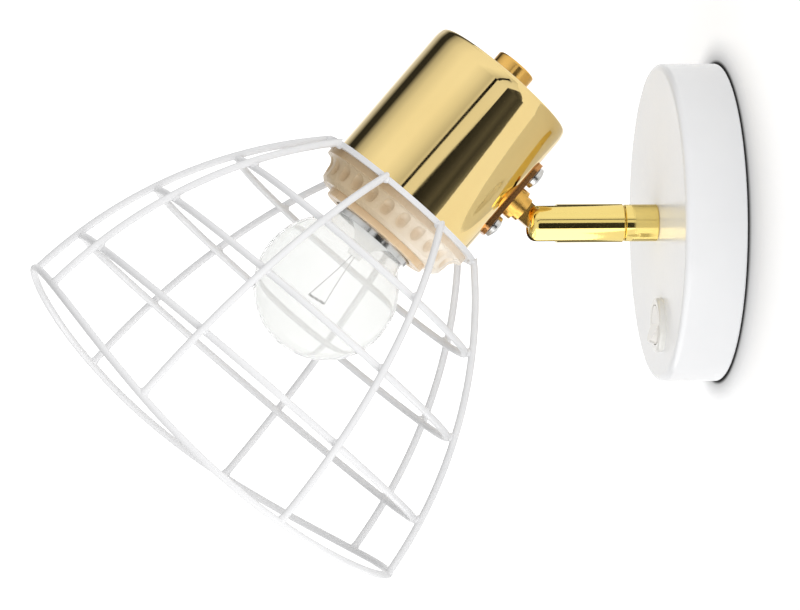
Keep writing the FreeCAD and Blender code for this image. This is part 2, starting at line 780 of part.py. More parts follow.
def strap():
    """The strap bent round the side of the cup."""
    half = strap_length / 2
    body = ring(strap_face, cup_radius + weld_gap, -half, half)
    mask = Part.makeBox(strap_width, strap_face, strap_length, Vector(-strap_width / 2, 0, -half))
    corners = [edge for edge in mask.Edges
               if edge.BoundBox.YLength > strap_thickness and edge.BoundBox.XLength < strap_thickness]
    mask = mask.makeFillet(strap_corner, corners)
    body = body.common(mask)
    body = body.cut(cylinder(rivet_diameter / 2 + fit_gap, 0, strap_face + overrun, direction=outward))
    return on_head(strap_holes(body, strap_screw_diameter / 2 + fit_gap))


def strap_screws():
    """Two cross-headed screws through the strap and the side of the cup."""
    pieces = []
    for side in (1, -1):
        place = Vector(0, 0, side * strap_screw_spacing / 2)
        head = pan_head(strap_head_diameter, strap_head_height, strap_face, place, outward)
        tip = strap_face - strap_screw_length
        screw = head.fuse(cylinder(strap_screw_diameter / 2, tip, strap_face, place, outward))
        top = strap_face + strap_head_height
        for width, height in ((cross_width, cross_length), (cross_length, cross_width)):
            cross = Part.makeBox(width, cross_depth + overrun, height,
                                 place + Vector(-width / 2, top - cross_depth, -height / 2))
            screw = screw.cut(cross)
        pieces.append(screw)
    return on_head(Part.makeCompound(pieces))


def strap_nuts():
    """The nuts of the strap's screws, inside the cup."""
    pieces = []
    corner = strap_nut_across / 2 / math.cos(math.pi / 6)
    end = math.sqrt(cup_inner_radius ** 2 - corner ** 2) - fit_gap
    for side in (1, -1):
        place = Vector(0, 0, side * strap_screw_spacing / 2)
        body = nut(strap_nut_across, strap_screw_diameter / 2 + fit_gap, 0, strap_nut_thickness)
        body = body.rotated(Vector(0, 0, 0), across, quarter_turn)
        pieces.append(body.translated(place + outward * end))
    return on_head(Part.makeCompound(pieces))


def cup_side(inset):
    """The cup's outline from the side into the closed end, on its outside or set in by its wall."""
    turn = math.radians(cup_crown_turn)
    crown = cup_crown_radius - inset
    edge = cup_edge_radius - inset
    crown_axis = cup_radius - cup_crown_radius
    edge_axis = crown_axis + (cup_crown_radius - cup_edge_radius) * math.cos(turn)
    edge_level = cup_above_pivot - cup_edge_radius
    crown_level = edge_level - (cup_crown_radius - cup_edge_radius) * math.sin(turn)
    edge_start = (edge_axis + edge * math.cos(turn), edge_level + edge * math.sin(turn))
    crown_bulge = math.tan(turn / 4) / 2
    edge_bulge = math.tan((math.pi / 2 - turn) / 4) / 2
    end = (edge_axis, edge_level + edge, -edge_bulge)
    return [(crown_axis + crown, crown_level), (*edge_start, -crown_bulge), end]


def cup():
    """The polished cup, closed at its far end round the nipple and open at the neck."""
    bore = nipple_diameter / 2 + fit_gap
    outside = turned([(0, neck_top), (cup_radius, neck_top)] + cup_side(0) + [(0, cup_above_pivot)])
    inside = turned([(0, neck_top - overrun), (cup_inner_radius, neck_top - overrun)] + cup_side(cup_wall)
                    + [(0, cup_roof)])
    body = outside.cut(inside).cut(cylinder(bore, cup_roof - overrun, cup_above_pivot + overrun))
    return on_head(strap_holes(body, strap_screw_diameter / 2 + fit_gap))


def cap_nut():
    """The round cap nut on top of the cup."""
    foot_top = cup_above_pivot + cap_nut_foot_height
    top = cup_above_pivot + cap_nut_height
    edge = cap_nut_round
    body = turned([(0, cup_above_pivot), (cap_nut_foot_diameter / 2, cup_above_pivot),
                   (cap_nut_foot_diameter / 2, foot_top), (cap_nut_diameter / 2, foot_top),
                   (cap_nut_diameter / 2, top - edge),
                   (cap_nut_diameter / 2 - edge, top, -quarter_bulge_share), (0, top)])
    thread = cylinder(nipple_diameter / 2 + fit_gap, cup_above_pivot - overrun, top - cap_nut_roof)
    return on_head(body.cut(thread))


def cup_nipple():
    """The hollow threaded nipple that holds cup and lampholder together."""
    bottom = cup_roof - holder_nut_thickness - nipple_in_holder
    top = cup_above_pivot + cap_nut_height - cap_nut_roof - face_gap
    return on_head(ring(nipple_diameter / 2, nipple_bore_diameter / 2, bottom, top))


def holder_nut():
    """The nut between the cup's closed end and the lampholder."""
    return on_head(nut(holder_nut_across, nipple_diameter / 2 + fit_gap, cup_roof - holder_nut_thickness,
                       cup_roof))


def holder_dome():
    """The lampholder's dome, screwed on the nipple and over the back of the holder's shell."""
    neck = dome_neck_diameter / 2
    neck_foot = dome_top - dome_neck_height
    wall = dome_wall
    bulge = quarter_bulge_share
    skirt_top = dome_bottom + dome_skirt
    bore = nipple_diameter / 2 + fit_gap
    body = turned([(holder_back_diameter / 2 + fit_gap, dome_bottom), (dome_radius, dome_bottom),
                   (dome_radius, skirt_top), (neck, neck_foot, -bulge), (neck, dome_top), (bore, dome_top),
                   (bore, neck_foot - wall), (neck - wall, neck_foot - wall),
                   (dome_radius - wall, skirt_top, bulge)])
    return on_head(body)


def holder_shell():
    """The lampholder's threaded shell, whose flange lies on the neck plate inside the cup."""
    thread = holder_thread_radius
    back = holder_back_diameter / 2
    inner = back - holder_wall
    mouth = holder_mouth_diameter / 2
    flange = holder_flange_diameter / 2
    flange_top = neck_top + holder_flange_thickness
    lip_top = holder_front + holder_lip
    body = turned([(mouth, holder_front), (thread - collar_edge, holder_front),
                   (thread, holder_front + collar_edge), (thread, neck_top), (flange, neck_top),
                   (flange, flange_top), (back, flange_top), (back, shell_back), (inner, shell_back),
                   (inner, lip_top), (mouth, lip_top)])
    return on_head(body)


def holder_core():
    """The insulating core of the lampholder, a thick cup round the screw shell."""
    outer = holder_back_diameter / 2 - holder_wall - fit_gap
    inner = outer - core_wall
    floor = bulb_tip + contact_thickness
    bottom = holder_front + holder_lip
    body = turned([(inner, bottom), (outer, bottom), (outer, shell_back), (0, shell_back), (0, floor),
                   (inner, floor)])
    for side in (1, -1):
        place = Vector(side * terminal_spacing / 2, 0, 0)
        body = body.cut(cylinder(terminal_screw_diameter / 2 + fit_gap, shell_back - terminal_screw_length,
                                 shell_back + overrun, place))
    return on_head(body)


def thread_outline(radius, depth, start, count, pitch):
    """The rounded crests and roots of a rolled thread, from its start upwards."""
    flank = radius - depth / 2
    bulge = depth / pitch
    points = [(flank, start)]
    for turn in range(count):
        crest_end = start + turn * pitch + pitch / 2
        points.append((flank, crest_end, -bulge))
        points.append((flank, crest_end + pitch / 2, bulge))
    return points


def screw_shell():
    """The brass screw shell in the core, rolled to the bulb's thread."""
    gap = shell_room
    inner = cap_thread_diameter / 2 + gap
    start = holder_front + holder_lip + core_wall
    top = bulb_tip - contact_thickness
    wall = shell_wall
    core_bore = holder_back_diameter / 2 - holder_wall - fit_gap - core_wall
    lip = core_bore - fit_gap
    body = turned([(inner, start), (lip, start), (lip, start + wall), (inner + wall, start + wall),
                   (inner + wall, top), (inner, top)])
    return on_head(body)


def centre_contact():
    """The sprung strip that meets the bulb's button at the bottom of the core."""
    strip = block(contact_width, contact_length, bulb_tip, bulb_tip + contact_thickness)
    return on_head(strip)


def holder_terminals():
    """The two terminal screws on the back of the core."""
    pieces = []
    for side in (1, -1):
        place = Vector(side * terminal_spacing / 2, 0, 0)
        head = pan_head(terminal_head_diameter, terminal_head_height, shell_back, place, along)
        screw = head.fuse(cylinder(terminal_screw_diameter / 2, shell_back - terminal_screw_length,
                                   shell_back, place))
        slot = block(terminal_head_diameter + overrun, rim_slot_width,
                     shell_back + terminal_head_height - rim_slot_depth,
                     shell_back + terminal_head_height + overrun, place)
        pieces.append(screw.cut(slot))
    return on_head(Part.makeCompound(pieces))


def neck_plate():
    """The flat white ring of the cage, clamped between the cup and the shade ring."""
    return on_head(ring(neck_diameter / 2, holder_thread_radius + fit_gap, neck_bottom, neck_top))


def shade_ring():
    """The moulded ring nut that clamps the cage, with a flange, a drawn-in waist and finger pockets."""
    bore = holder_thread_radius + fit_gap
    flange = ring_flange_diameter / 2
    middle = ring_middle_diameter / 2
    bottom = neck_bottom - ring_height
    body = turned([(bore, neck_bottom), (flange, neck_bottom), (flange, neck_bottom - ring_flange_height),
                   (ring_shoulder_diameter / 2, neck_bottom - ring_shoulder_drop, -ring_arc_share),
                   (middle, neck_bottom - ring_middle_drop, -ring_arc_share),
                   (ring_waist_diameter / 2, neck_bottom - ring_waist_drop),
                   (ring_foot_diameter / 2, bottom), (bore, bottom)])
    spare = ring_pocket_radius - ring_pocket_depth
    cuts = []
    for step in range(ring_pocket_count):
        turn = ring_pocket_turn + step * full_turn / ring_pocket_count
        high = Vector(middle + spare, 0, neck_bottom - ring_pocket_top_drop)
        low = Vector(middle + spare, 0, neck_bottom - ring_pocket_foot_drop)
        cut = round_bar(high, low, ring_pocket_radius)
        for end in (high, low):
            cut = cut.fuse(Part.makeSphere(ring_pocket_radius, end))
        cuts.append(cut.rotated(Vector(0, 0, 0), along, turn))
    return on_head(body.cut(Part.makeCompound(cuts)))


# Bulb

def bulb_glass():
    """The clear globe with its flared neck, a thin shell."""
    outer = globe_diameter / 2
    neck = glass_neck_diameter / 2
    flare = glass_flare_radius
    swing = math.asin((neck + flare) / (outer + flare))
    flare_height = globe_centre + (outer + flare) * math.cos(swing)
    glass_top = cap_front + cap_skirt_length
    walls = []
    for offset in (0, glass_wall):
        ball = outer - offset
        join = (ball * math.sin(swing), globe_centre + ball * math.cos(swing))
        round_swing = half_turn - math.degrees(swing)
        ball_bulge = math.tan(math.radians(round_swing) / 4) / 2
        flare_bulge = math.tan((math.pi / 2 - swing) / 4) / 2
        top = glass_top + overrun if offset else glass_top
        walls.append(turned([(0, top), (0, globe_centre - ball), (join[0], join[1], -ball_bulge),
                             (neck - offset, flare_height, flare_bulge), (neck - offset, top)]))
    return on_head(walls[0].cut(walls[1]))


def bulb_cap():
    """The bulb's metal cap, a thin shell rolled with a thread, with a plain skirt round the glass."""
    skirt = cap_skirt_diameter / 2
    skirt_top = cap_front + cap_skirt_length
    crest = cap_thread_diameter / 2
    root = crest - cap_thread_depth
    thread_start = skirt_top + cap_taper
    thread_end = thread_start + cap_thread_count * cap_thread_pitch
    wall = shell_wall
    seat = insulator_top_diameter / 2
    cap_end = bulb_tip - contact_button_height - insulator_height + cap_taper
    inner_neck = glass_neck_diameter / 2 + fit_gap
    body = turned([(inner_neck, cap_front), (skirt, cap_front), (skirt, skirt_top)]
                  + thread_outline(crest, cap_thread_depth, thread_start, cap_thread_count, cap_thread_pitch)
                  + [(root, thread_end + cap_taper), (root, cap_end), (root - wall, cap_end),
                     (root - wall, thread_start), (inner_neck, skirt_top)])
    return on_head(body)


def bulb_insulator():
    """The dark glass cone at the end of the cap."""
    top = bulb_tip - contact_button_height
    root = cap_thread_diameter / 2 - cap_thread_depth
    bottom = top - insulator_height
    body = turned([(0, bottom), (root - shell_wall - fit_gap, bottom),
                   (root - shell_wall - fit_gap, bottom + cap_taper), (insulator_top_diameter / 2, top),
                   (0, top)])
    return on_head(body)


def bulb_button():
    """The solder button in the middle of the insulator."""
    radius = contact_button_diameter / 2
    rise = contact_button_height
    dome_size = (radius ** 2 + rise ** 2) / (2 * rise)
    dome = Part.makeSphere(dome_size, Vector(0, 0, bulb_tip - dome_size))
    return on_head(dome.common(cylinder(radius, bulb_tip - rise, bulb_tip)))


def stem_tip():
    """The height of the tip of the glass stem."""
    return cap_front - stem_tip_drop


def filament_ends():
    """Where the two ends of the filament are held."""
    height = globe_centre - filament_drop
    return [Vector(side * filament_span / 2, 0, height) for side in (1, -1)]


def lead_bars(radius):
    """Two straight bars from inside the stem to the ends of the filament."""
    bars = []
    for end in filament_ends():
        side = 1 if end.x > 0 else -1
        start = Vector(side * lead_wire_pitch / 2, 0, stem_tip() + stem_diameter / 2)
        bars.append(round_bar(start, end, radius))
    leads = Part.makeCompound(bars)
    return leads.rotated(Vector(0, 0, 0), along, filament_turn)


def bulb_stem():
    """The glass stem that carries the filament, flared to the neck at its foot."""
    tip = stem_tip()
    foot = cap_front + cap_skirt_length - cap_taper
    radius = stem_diameter / 2
    foot_radius = glass_neck_diameter / 2 - glass_wall - fit_gap
    flare = foot_radius - radius
    bulge = quarter_bulge_share
    rod = cylinder(radius, tip + radius, foot).fuse(Part.makeSphere(radius, Vector(0, 0, tip + radius)))
    skirt = turned([(0, foot - flare), (radius, foot - flare), (foot_radius, foot, bulge), (0, foot)])
    body = rod.fuse(skirt).removeSplitter()
    return on_head(body.cut(lead_bars(lead_wire_diameter / 2 + weld_gap)))


def bulb_leads():
    """The two stiff wires from the stem to the ends of the filament."""
    return on_head(lead_bars(lead_wire_diameter / 2))


def bulb_filament():
    """The filament, hung between the stiff wires in shallow waves."""
    ends = filament_ends()
    start = ends[1] + Vector(lead_wire_diameter, 0, 0)
    step = (filament_span - 2 * lead_wire_diameter) / (2 * filament_wave_count)
    edges = []
    for index in range(2 * filament_wave_count):
        here = start + across * (index * step)
        there = here + across * step
        bulge = filament_sag / 2 if index % 2 == 0 else -filament_sag / 2
        edges.append(Part.Arc(here, (here + there) / 2 + outward * bulge, there).toShape())
    path = Part.Wire(edges)
    profile = Part.Wire(Part.Circle(start, edges[0].tangentAt(edges[0].FirstParameter),
                                    filament_diameter / 2).toShape())
    coil = path.makePipeShell([profile], True, False)
    return on_head(coil.rotated(Vector(0, 0, 0), along, filament_turn))


# Cage

def bend_centre():
    """The centre of the bend that every wire of the cage follows, as radius and depth below the neck."""
    start = (neck_diameter / 2, 0)
    end = (cage_rim_radius, cage_depth)
    chord = (end[0] - start[0], end[1] - start[1])
    length = math.hypot(chord[0], chord[1])
    reach = math.sqrt(cage_bend_radius ** 2 - (length / 2) ** 2)
    middle = ((start[0] + end[0]) / 2, (start[1] + end[1]) / 2)
    return (middle[0] - chord[1] / length * reach, middle[1] + chord[0] / length * reach)


def cage_radius(depth, inset=0):
    """The cage's radius at a depth below the neck, on the wires' own bend or a bend set in from it."""
    centre = bend_centre()
    return centre[0] + math.sqrt((cage_bend_radius - inset) ** 2 - (depth - centre[1]) ** 2)


def around(radius, turn, depth):
    """A point of the cage. The turn starts on the side away from the arm and goes towards +X."""
    angle = math.radians(turn)
    return Vector(radius * math.sin(angle), -radius * math.cos(angle), neck_middle - depth)


def rim_depth(turn):
    """The rim's depth below the neck: deeper at the sides than at top and bottom."""
    return cage_depth - rim_wave * math.cos(math.radians(2 * (turn - rim_wave_turn)))


def rim_point(turn):
    """A point on the rim's middle line."""
    depth = rim_depth(turn)
    return around(cage_radius(depth), turn, depth)


def rim_direction(turn):
    """The way that the rim's middle line goes at a turn."""
    half_step = 0.01
    return (rim_point(turn + half_step) - rim_point(turn - half_step)).normalize()


def two_arcs(start, start_way, end, end_way):
    """Two arcs in a row that leave the start and reach the end in the given ways."""
    gap = end - start
    ways = start_way + end_way
    a = 2 * (1 - start_way.dot(end_way))
    b = 2 * gap.dot(ways)
    c = -gap.dot(gap)
    reach = (-b + math.sqrt(b * b - 4 * a * c)) / (2 * a)
    join = (start + start_way * reach + end - end_way * reach) / 2
    edges = []
    for first, corner, last in ((start, start + start_way * reach, join), (join, end - end_way * reach, end)):
        chord_middle = (first + last) / 2
        rise = corner - chord_middle
        half_chord = first.distanceToPoint(last) / 2
        bulge = half_chord * math.tan(math.atan2(rise.Length, half_chord) / 2)
        edges.append(Part.Arc(first, chord_middle + rise.normalize() * bulge, last).toShape())
    return edges


def rim_tube(radius):
    """The rim's tube, in two halves made along tangent arcs and joined."""
    step = full_turn / rim_span_count
    halves = []
    for half in range(2):
        edges = []
        for span in range(rim_span_count // 2):
            turn = half * half_turn + span * step
            edges += two_arcs(rim_point(turn), rim_direction(turn), rim_point(turn + step),
                              rim_direction(turn + step))
        start = half * half_turn
        profile = Part.Wire(Part.Circle(rim_point(start), rim_direction(start), radius).toShape())
        halves.append(Part.Wire(edges).makePipeShell([profile], True, False))
    return halves[0].fuse(halves[1]).removeSplitter()


def cage_rim():
    """The wavy rim of the cage."""
    return on_head(rim_tube(wire_radius))


def cage_ring(depth):
    """One of the level rings, welded to the inside of the wires."""
    inset = wire_diameter + weld_gap
    centre = bend_centre()
    wire_at = cage_radius(depth)
    ratio = (cage_bend_radius - inset) / cage_bend_radius
    radius = centre[0] + (wire_at - centre[0]) * ratio
    ring_depth = centre[1] + (depth - centre[1]) * ratio
    return on_head(Part.makeTorus(radius, wire_radius, Vector(0, 0, neck_middle - ring_depth), along))


def cage_wire(turn):
    """One bent wire, from the edge of the neck plate to the rim."""
    centre = bend_centre()
    bend_middle = around(centre[0], turn, centre[1])
    axis = around(1, turn + quarter_turn, 0) - around(0, turn, 0)
    start_depth = -wire_diameter / 2
    start_radius = cage_radius(start_depth)
    start = around(start_radius, turn, start_depth)
    end = rim_point(turn)
    first = start - bend_middle
    last = end - bend_middle
    sweep = math.degrees(first.getAngle(last))
    way = axis.cross(first).normalize()
    if way.z > 0:
        axis = -axis
        way = -way
    section = Part.Face(Part.Wire(Part.Circle(start, way, wire_radius).toShape()))
    bar = section.revolve(bend_middle, axis, sweep)
    bar = bar.cut(cylinder(neck_diameter / 2 + weld_gap, neck_bottom - wire_diameter,
                           neck_top + wire_diameter))
    return on_head(bar.cut(rim_tube(wire_radius + weld_gap)))


pieces = {
    "mounting_plate": mounting_plate,
    "base_shell": base_shell,
    "rim_screws": rim_screws,
    "terminal_block": terminal_block,
    "terminal_sleeves": terminal_sleeves,
    "terminal_screws": terminal_screws,
    "block_screw": block_screw,
    "earth_washer": earth_washer,
    "earth_screw": earth_screw,
    "switch_body": switch_body,
    "switch_blades": switch_blades,
    "switch_rocker": switch_rocker,
    "tail_nut": tail_nut,
    "tail_washer": tail_washer,
    "arm_collar": arm_collar,
    "swivel_spindle": swivel_spindle,
    "swivel_washer": swivel_washer,
    "swivel_bush": swivel_bush,
    "arm_barrel": arm_barrel,
    "pivot_screw": pivot_screw,
    "friction_washers": friction_washers,
    "knuckle": knuckle,
    "strap": strap,
    "strap_screws": strap_screws,
    "strap_nuts": strap_nuts,
    "cup": cup,
    "cap_nut": cap_nut,
    "cup_nipple": cup_nipple,
    "holder_nut": holder_nut,
    "holder_dome": holder_dome,
    "holder_shell": holder_shell,
    "holder_core": holder_core,
    "screw_shell": screw_shell,
    "centre_contact": centre_contact,
    "holder_terminals": holder_terminals,
    "neck_plate": neck_plate,
    "shade_ring": shade_ring,
    "bulb_glass": bulb_glass,
    "bulb_cap": bulb_cap,
    "bulb_insulator": bulb_insulator,
    "bulb_button": bulb_button,
    "bulb_stem": bulb_stem,
    "bulb_leads": bulb_leads,
    "bulb_filament": bulb_filament,
    "cage_rim": cage_rim,
}

os.makedirs("parts", exist_ok=True)
for name, make in pieces.items():
    make().exportStep("parts/" + name + ".step")
for name, depth in zip(("cage_ring_upper", "cage_ring_middle", "cage_ring_lower"), cage_ring_depths):
    cage_ring(depth).exportStep("parts/" + name + ".step")
for number, turn in enumerate(wire_turns, 1):
    cage_wire(turn).exportStep("parts/cage_wire_" + str(number) + ".step")
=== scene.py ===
"""Wall sconce: a white base with a switch, a brass arm and cup, and a white wire cage round a clear bulb.

Lengths are in metres. The wall is the plane Y = 0, the room is towards -Y and +Z is up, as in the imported
solids. Pieces of the head are drawn hanging straight down, with Z along the cup, and are then turned to
the tilt at which the lamp rests.
"""

import logging
import math
from dataclasses import dataclass, field
from enum import Enum

import bmesh
import bpy
from mathutils import Matrix, Vector

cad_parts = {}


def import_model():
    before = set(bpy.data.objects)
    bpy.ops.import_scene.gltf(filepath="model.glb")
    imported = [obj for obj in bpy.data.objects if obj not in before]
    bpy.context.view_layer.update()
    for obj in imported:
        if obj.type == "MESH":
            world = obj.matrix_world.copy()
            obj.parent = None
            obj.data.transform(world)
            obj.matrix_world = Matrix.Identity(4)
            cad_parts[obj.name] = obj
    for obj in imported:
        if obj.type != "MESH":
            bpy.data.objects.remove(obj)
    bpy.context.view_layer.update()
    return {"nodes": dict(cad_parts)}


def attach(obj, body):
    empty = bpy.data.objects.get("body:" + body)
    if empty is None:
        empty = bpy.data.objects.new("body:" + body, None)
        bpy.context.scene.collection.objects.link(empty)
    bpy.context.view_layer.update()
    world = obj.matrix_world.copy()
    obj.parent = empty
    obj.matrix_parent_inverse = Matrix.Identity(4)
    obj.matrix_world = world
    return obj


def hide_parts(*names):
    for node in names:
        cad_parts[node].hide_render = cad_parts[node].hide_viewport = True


log = logging.getLogger("sconce")

MM = 0.001
MERGE_DISTANCE = 0.001 * MM
HEAD = "head"

Thing = bpy.types.Object
Material = bpy.types.Material
Tree = bpy.types.NodeTree
Node = bpy.types.Node
Socket = bpy.types.NodeSocket
Mesh = bmesh.types.BMesh
Triple = tuple[float, float, float]
Stops = tuple[tuple[float, float], ...]


class Slot(Enum):
    """The finishes that the record names."""

    WHITE_PAINT = "white_paint"
    GOLD = "gold"
    PLATED_STEEL = "plated_steel"
    BRASS_INSERT = "brass_insert"
    WHITE_PLASTIC = "white_plastic"
    CREAM_PLASTIC = "cream_plastic"
    BLACK_INSULATOR = "black_insulator"
    CLEAR_GLASS = "clear_glass"
    CAP_METAL = "cap_metal"
    FILAMENT_WIRE = "filament_wire"


class Effect(Enum):
    """Surface effects that several finishes share, each a node group."""

    MOTTLE = "soft mottle"
    PEEL = "orange peel"
    DRAWN = "drawn lines"
    RINGS = "turning rings"
    # Painted shade in the shade ring's pockets, under its flange and on its upper side.
    POCKETS = "finger pockets"


# Node helpers


def link(tree: Tree, source: Socket, target: Socket) -> None:
    """Joins two sockets of a tree."""
    tree.links.new(source, target)


def fill(tree: Tree, value: Socket | float | tuple, socket: Socket) -> None:
    """Feeds a socket from another one, or sets it.

    Args:
        tree: The tree of the socket.
        value: The socket that feeds it, or its value.
        socket: The socket to fill.
    """
    if isinstance(value, Socket):
        link(tree, value, socket)
    else:
        socket.default_value = value


def coordinates(tree: Tree, kind: str = "Object") -> Socket:
    """Gives the coordinates of a kind."""
    return tree.nodes.new("ShaderNodeTexCoord").outputs[kind]


def split_axes(tree: Tree, vector: Socket) -> bpy.types.NodeOutputs:
    """Splits a vector into its axes.

    Args:
        tree: The tree that gets the node.
        vector: The vector's socket.

    Returns:
        The sockets by axis: X, Y and Z.
    """
    split = tree.nodes.new("ShaderNodeSeparateXYZ")
    link(tree, vector, split.inputs["Vector"])
    return split.outputs


def math_node(tree: Tree, operation: str, *values: Socket | float) -> Socket:
    """Adds a Math node.

    Args:
        tree: The tree that gets the node.
        operation: What the node does.
        values: Its values, or their sockets.

    Returns:
        The socket of the result.
    """
    node = tree.nodes.new("ShaderNodeMath")
    node.operation = operation
    for socket, value in zip(node.inputs, values):
        fill(tree, value, socket)
    return node.outputs["Value"]


def vector_node(tree: Tree, operation: str, *vectors: Socket | tuple) -> Socket:
    """Adds a Vector Math node that gives a number.

    Args:
        tree: The tree that gets the node.
        operation: What the node does.
        vectors: Its vectors, or their sockets.

    Returns:
        The socket of the result.
    """
    node = tree.nodes.new("ShaderNodeVectorMath")
    node.operation = operation
    for socket, vector in zip(node.inputs, vectors):
        fill(tree, vector, socket)
    return node.outputs["Value"]


def map_range(tree: Tree, value: Socket, span: tuple[float, float],
              result: tuple[float, float] = (0.0, 1.0), smooth: bool = False) -> Socket:
    """Adds a node that maps one span of values to another and holds its ends.

    Args:
        tree: The tree that gets the node.
        value: The socket of the value.
        span: The values between which the result changes.
        result: What it changes from and to.
        smooth: Whether it eases in and out.

    Returns:
        The socket of the result.
    """
    node = tree.nodes.new("ShaderNodeMapRange")
    node.interpolation_type = "SMOOTHSTEP" if smooth else "LINEAR"
    for name, number in zip(("From Min", "From Max", "To Min", "To Max"), span + result):
        node.inputs[name].default_value = number
    link(tree, value, node.inputs["Value"])
    return node.outputs["Result"]


def fade(tree: Tree, value: Socket, full: float, none: float) -> Socket:
    """Adds a smooth step from 1 down to 0.

    Args:
        tree: The tree that gets the node.
        value: The socket of the value.
        full: The value at which the result is 1.
        none: The value at which it is 0.

    Returns:
        The socket of the result.
    """
    return map_range(tree, value, (full, none), (1.0, 0.0), smooth=True)


def ramp(tree: Tree, value: Socket, stops: Stops) -> Socket:
    """Turns a value between -1 and 1 into a brightness.

    Args:
        tree: The tree that gets the nodes.
        value: The value's socket.
        stops: Pairs of value and brightness, in order.

    Returns:
        The socket of the brightness.
    """
    node = tree.nodes.new("ShaderNodeValToRGB")
    elements = node.color_ramp.elements
    for index, (at, bright) in enumerate(stops):
        if index < 2:
            elements[index].position = (at + 1) / 2
        else:
            elements.new((at + 1) / 2)
        elements[index].color = (bright, bright, bright, 1)
    link(tree, map_range(tree, value, (-1.0, 1.0)), node.inputs["Fac"])
    return node.outputs["Color"]


def either(tree: Tree, kind: Socket, usual: Socket | float, chosen: Socket | float) -> Socket:
    """Gives one value for some kinds of ray and another for all others.

    Args:
        tree: The tree that gets the node.
        kind: The socket that is 1 for those kinds of ray.
        usual: The value for all other rays, or its socket.
        chosen: The value for those kinds, or its socket.

    Returns:
        The socket of the value.
    """
    pick = tree.nodes.new("ShaderNodeMix")
    link(tree, kind, pick.inputs["Factor"])
    fill(tree, usual, pick.inputs["A"])
    fill(tree, chosen, pick.inputs["B"])
    return pick.outputs["Result"]


def mix_colours(tree: Tree, factor: Socket, first: Socket | tuple, second: Socket | tuple,
                blend: str = "MIX") -> Node:
    """Adds a mix of two colours.

    Args:
        tree: The tree that gets the node.
        factor: The socket of the second colour's share.
        first: The first colour, or its socket.
        second: The second colour, or its socket.
        blend: How they blend.

    Returns:
        The node.
    """
    mix = tree.nodes.new("ShaderNodeMix")
    mix.data_type = "RGBA"
    mix.blend_type = blend
    link(tree, factor, mix.inputs["Factor"])
    fill(tree, first, mix.inputs["A"])
    fill(tree, second, mix.inputs["B"])
    return mix


def object_noise(tree: Tree, scale: Socket, detail: float, stretch: Triple = (1, 1, 1),
                 tilt: float = 0.0) -> Socket:
    """Adds a noise on Object coordinates.

    Args:
        tree: The group that gets the nodes.
        scale: The socket that gives the noise's scale.
        detail: The octaves of the noise.
        stretch: How much the pattern is scaled along each axis.
        tilt: The turn of the pattern about X, in radians.

    Returns:
        The noise's value socket.
    """
    mapping = tree.nodes.new("ShaderNodeMapping")
    mapping.inputs["Scale"].default_value = stretch
    mapping.inputs["Rotation"].default_value = (tilt, 0, 0)
    noise = tree.nodes.new("ShaderNodeTexNoise")
    noise.inputs["Detail"].default_value = detail
    link(tree, coordinates(tree), mapping.inputs["Vector"])
    link(tree, mapping.outputs["Vector"], noise.inputs["Vector"])
    link(tree, scale, noise.inputs["Scale"])
    return noise.outputs["Fac"]


# Node groups of the shared effects


def new_group(effect: Effect, inputs: dict[str, float],
              *outputs: str) -> tuple[Tree, bpy.types.NodeOutputs, bpy.types.NodeInputs]:
    """Starts a node group with number inputs and number outputs.

    Args:
        effect: The effect that the group holds.
        inputs: The default value of each input.
        outputs: The names of the outputs.

    Returns:
        The new group, the sockets that bring its inputs and those that take its outputs.
    """
    group = bpy.data.node_groups.new(effect.value, "ShaderNodeTree")
    for name, value in inputs.items():
        socket = group.interface.new_socket(name=name, in_out="INPUT", socket_type="NodeSocketFloat")
        socket.default_value = value
    for name in outputs:
        group.interface.new_socket(name=name, in_out="OUTPUT", socket_type="NodeSocketFloat")
    start = group.nodes.new("NodeGroupInput")
    end = group.nodes.new("NodeGroupOutput")
    return group, start.outputs, end.inputs


def effect_node(tree: Tree, effect: Effect, **values: float) -> Node:
    """Places the group of an effect in a material.

    Args:
        tree: The material's tree.
        effect: The effect.
        values: The values of the group's inputs by name.

    Returns:
        The group's node.
    """
    node = tree.nodes.new("ShaderNodeGroup")
    node.node_tree = bpy.data.node_groups[effect.value]
    for name, value in values.items():
        node.inputs[name].default_value = value
    return node


def mottle_group() -> None:
    """Makes the group whose Mask drifts slowly between 0 and 1 over a surface."""
    group, given, wanted = new_group(Effect.MOTTLE, {"Scale": 60.0}, "Mask")
    value = object_noise(group, given["Scale"], 3.0)
    link(group, map_range(group, value, (0.32, 0.68)), wanted["Mask"])


def peel_group() -> None:
    """Makes the group whose Height gives sprayed or moulded surfaces their faint orange peel."""
    group, given, wanted = new_group(Effect.PEEL, {"Scale": 900.0}, "Height")
    value = object_noise(group, given["Scale"], 1.5)
    cells = group.nodes.new("ShaderNodeTexVoronoi")
    cells.feature = "SMOOTH_F1"
    link(group, coordinates(group), cells.inputs["Vector"])
    link(group, given["Scale"], cells.inputs["Scale"])
    half = math_node(group, "MULTIPLY", cells.outputs["Distance"], 0.5)
    link(group, math_node(group, "ADD", half, value), wanted["Height"])


def lines_group(effect: Effect, detail: float, stretch: Triple, tilt: float = 0.0) -> None:
    """Makes a group whose Height gives the fine lines that drawing, polishing or a lathe leaves.

    Args:
        effect: The effect that the group holds.
        detail: The octaves of its noise.
        stretch: How much the noise is scaled along each axis.
        tilt: The turn of the lines about X, in radians.
    """
    group, given, wanted = new_group(effect, {"Scale": 900.0}, "Height")
    link(group, object_noise(group, given["Scale"], detail, stretch, tilt), wanted["Height"])


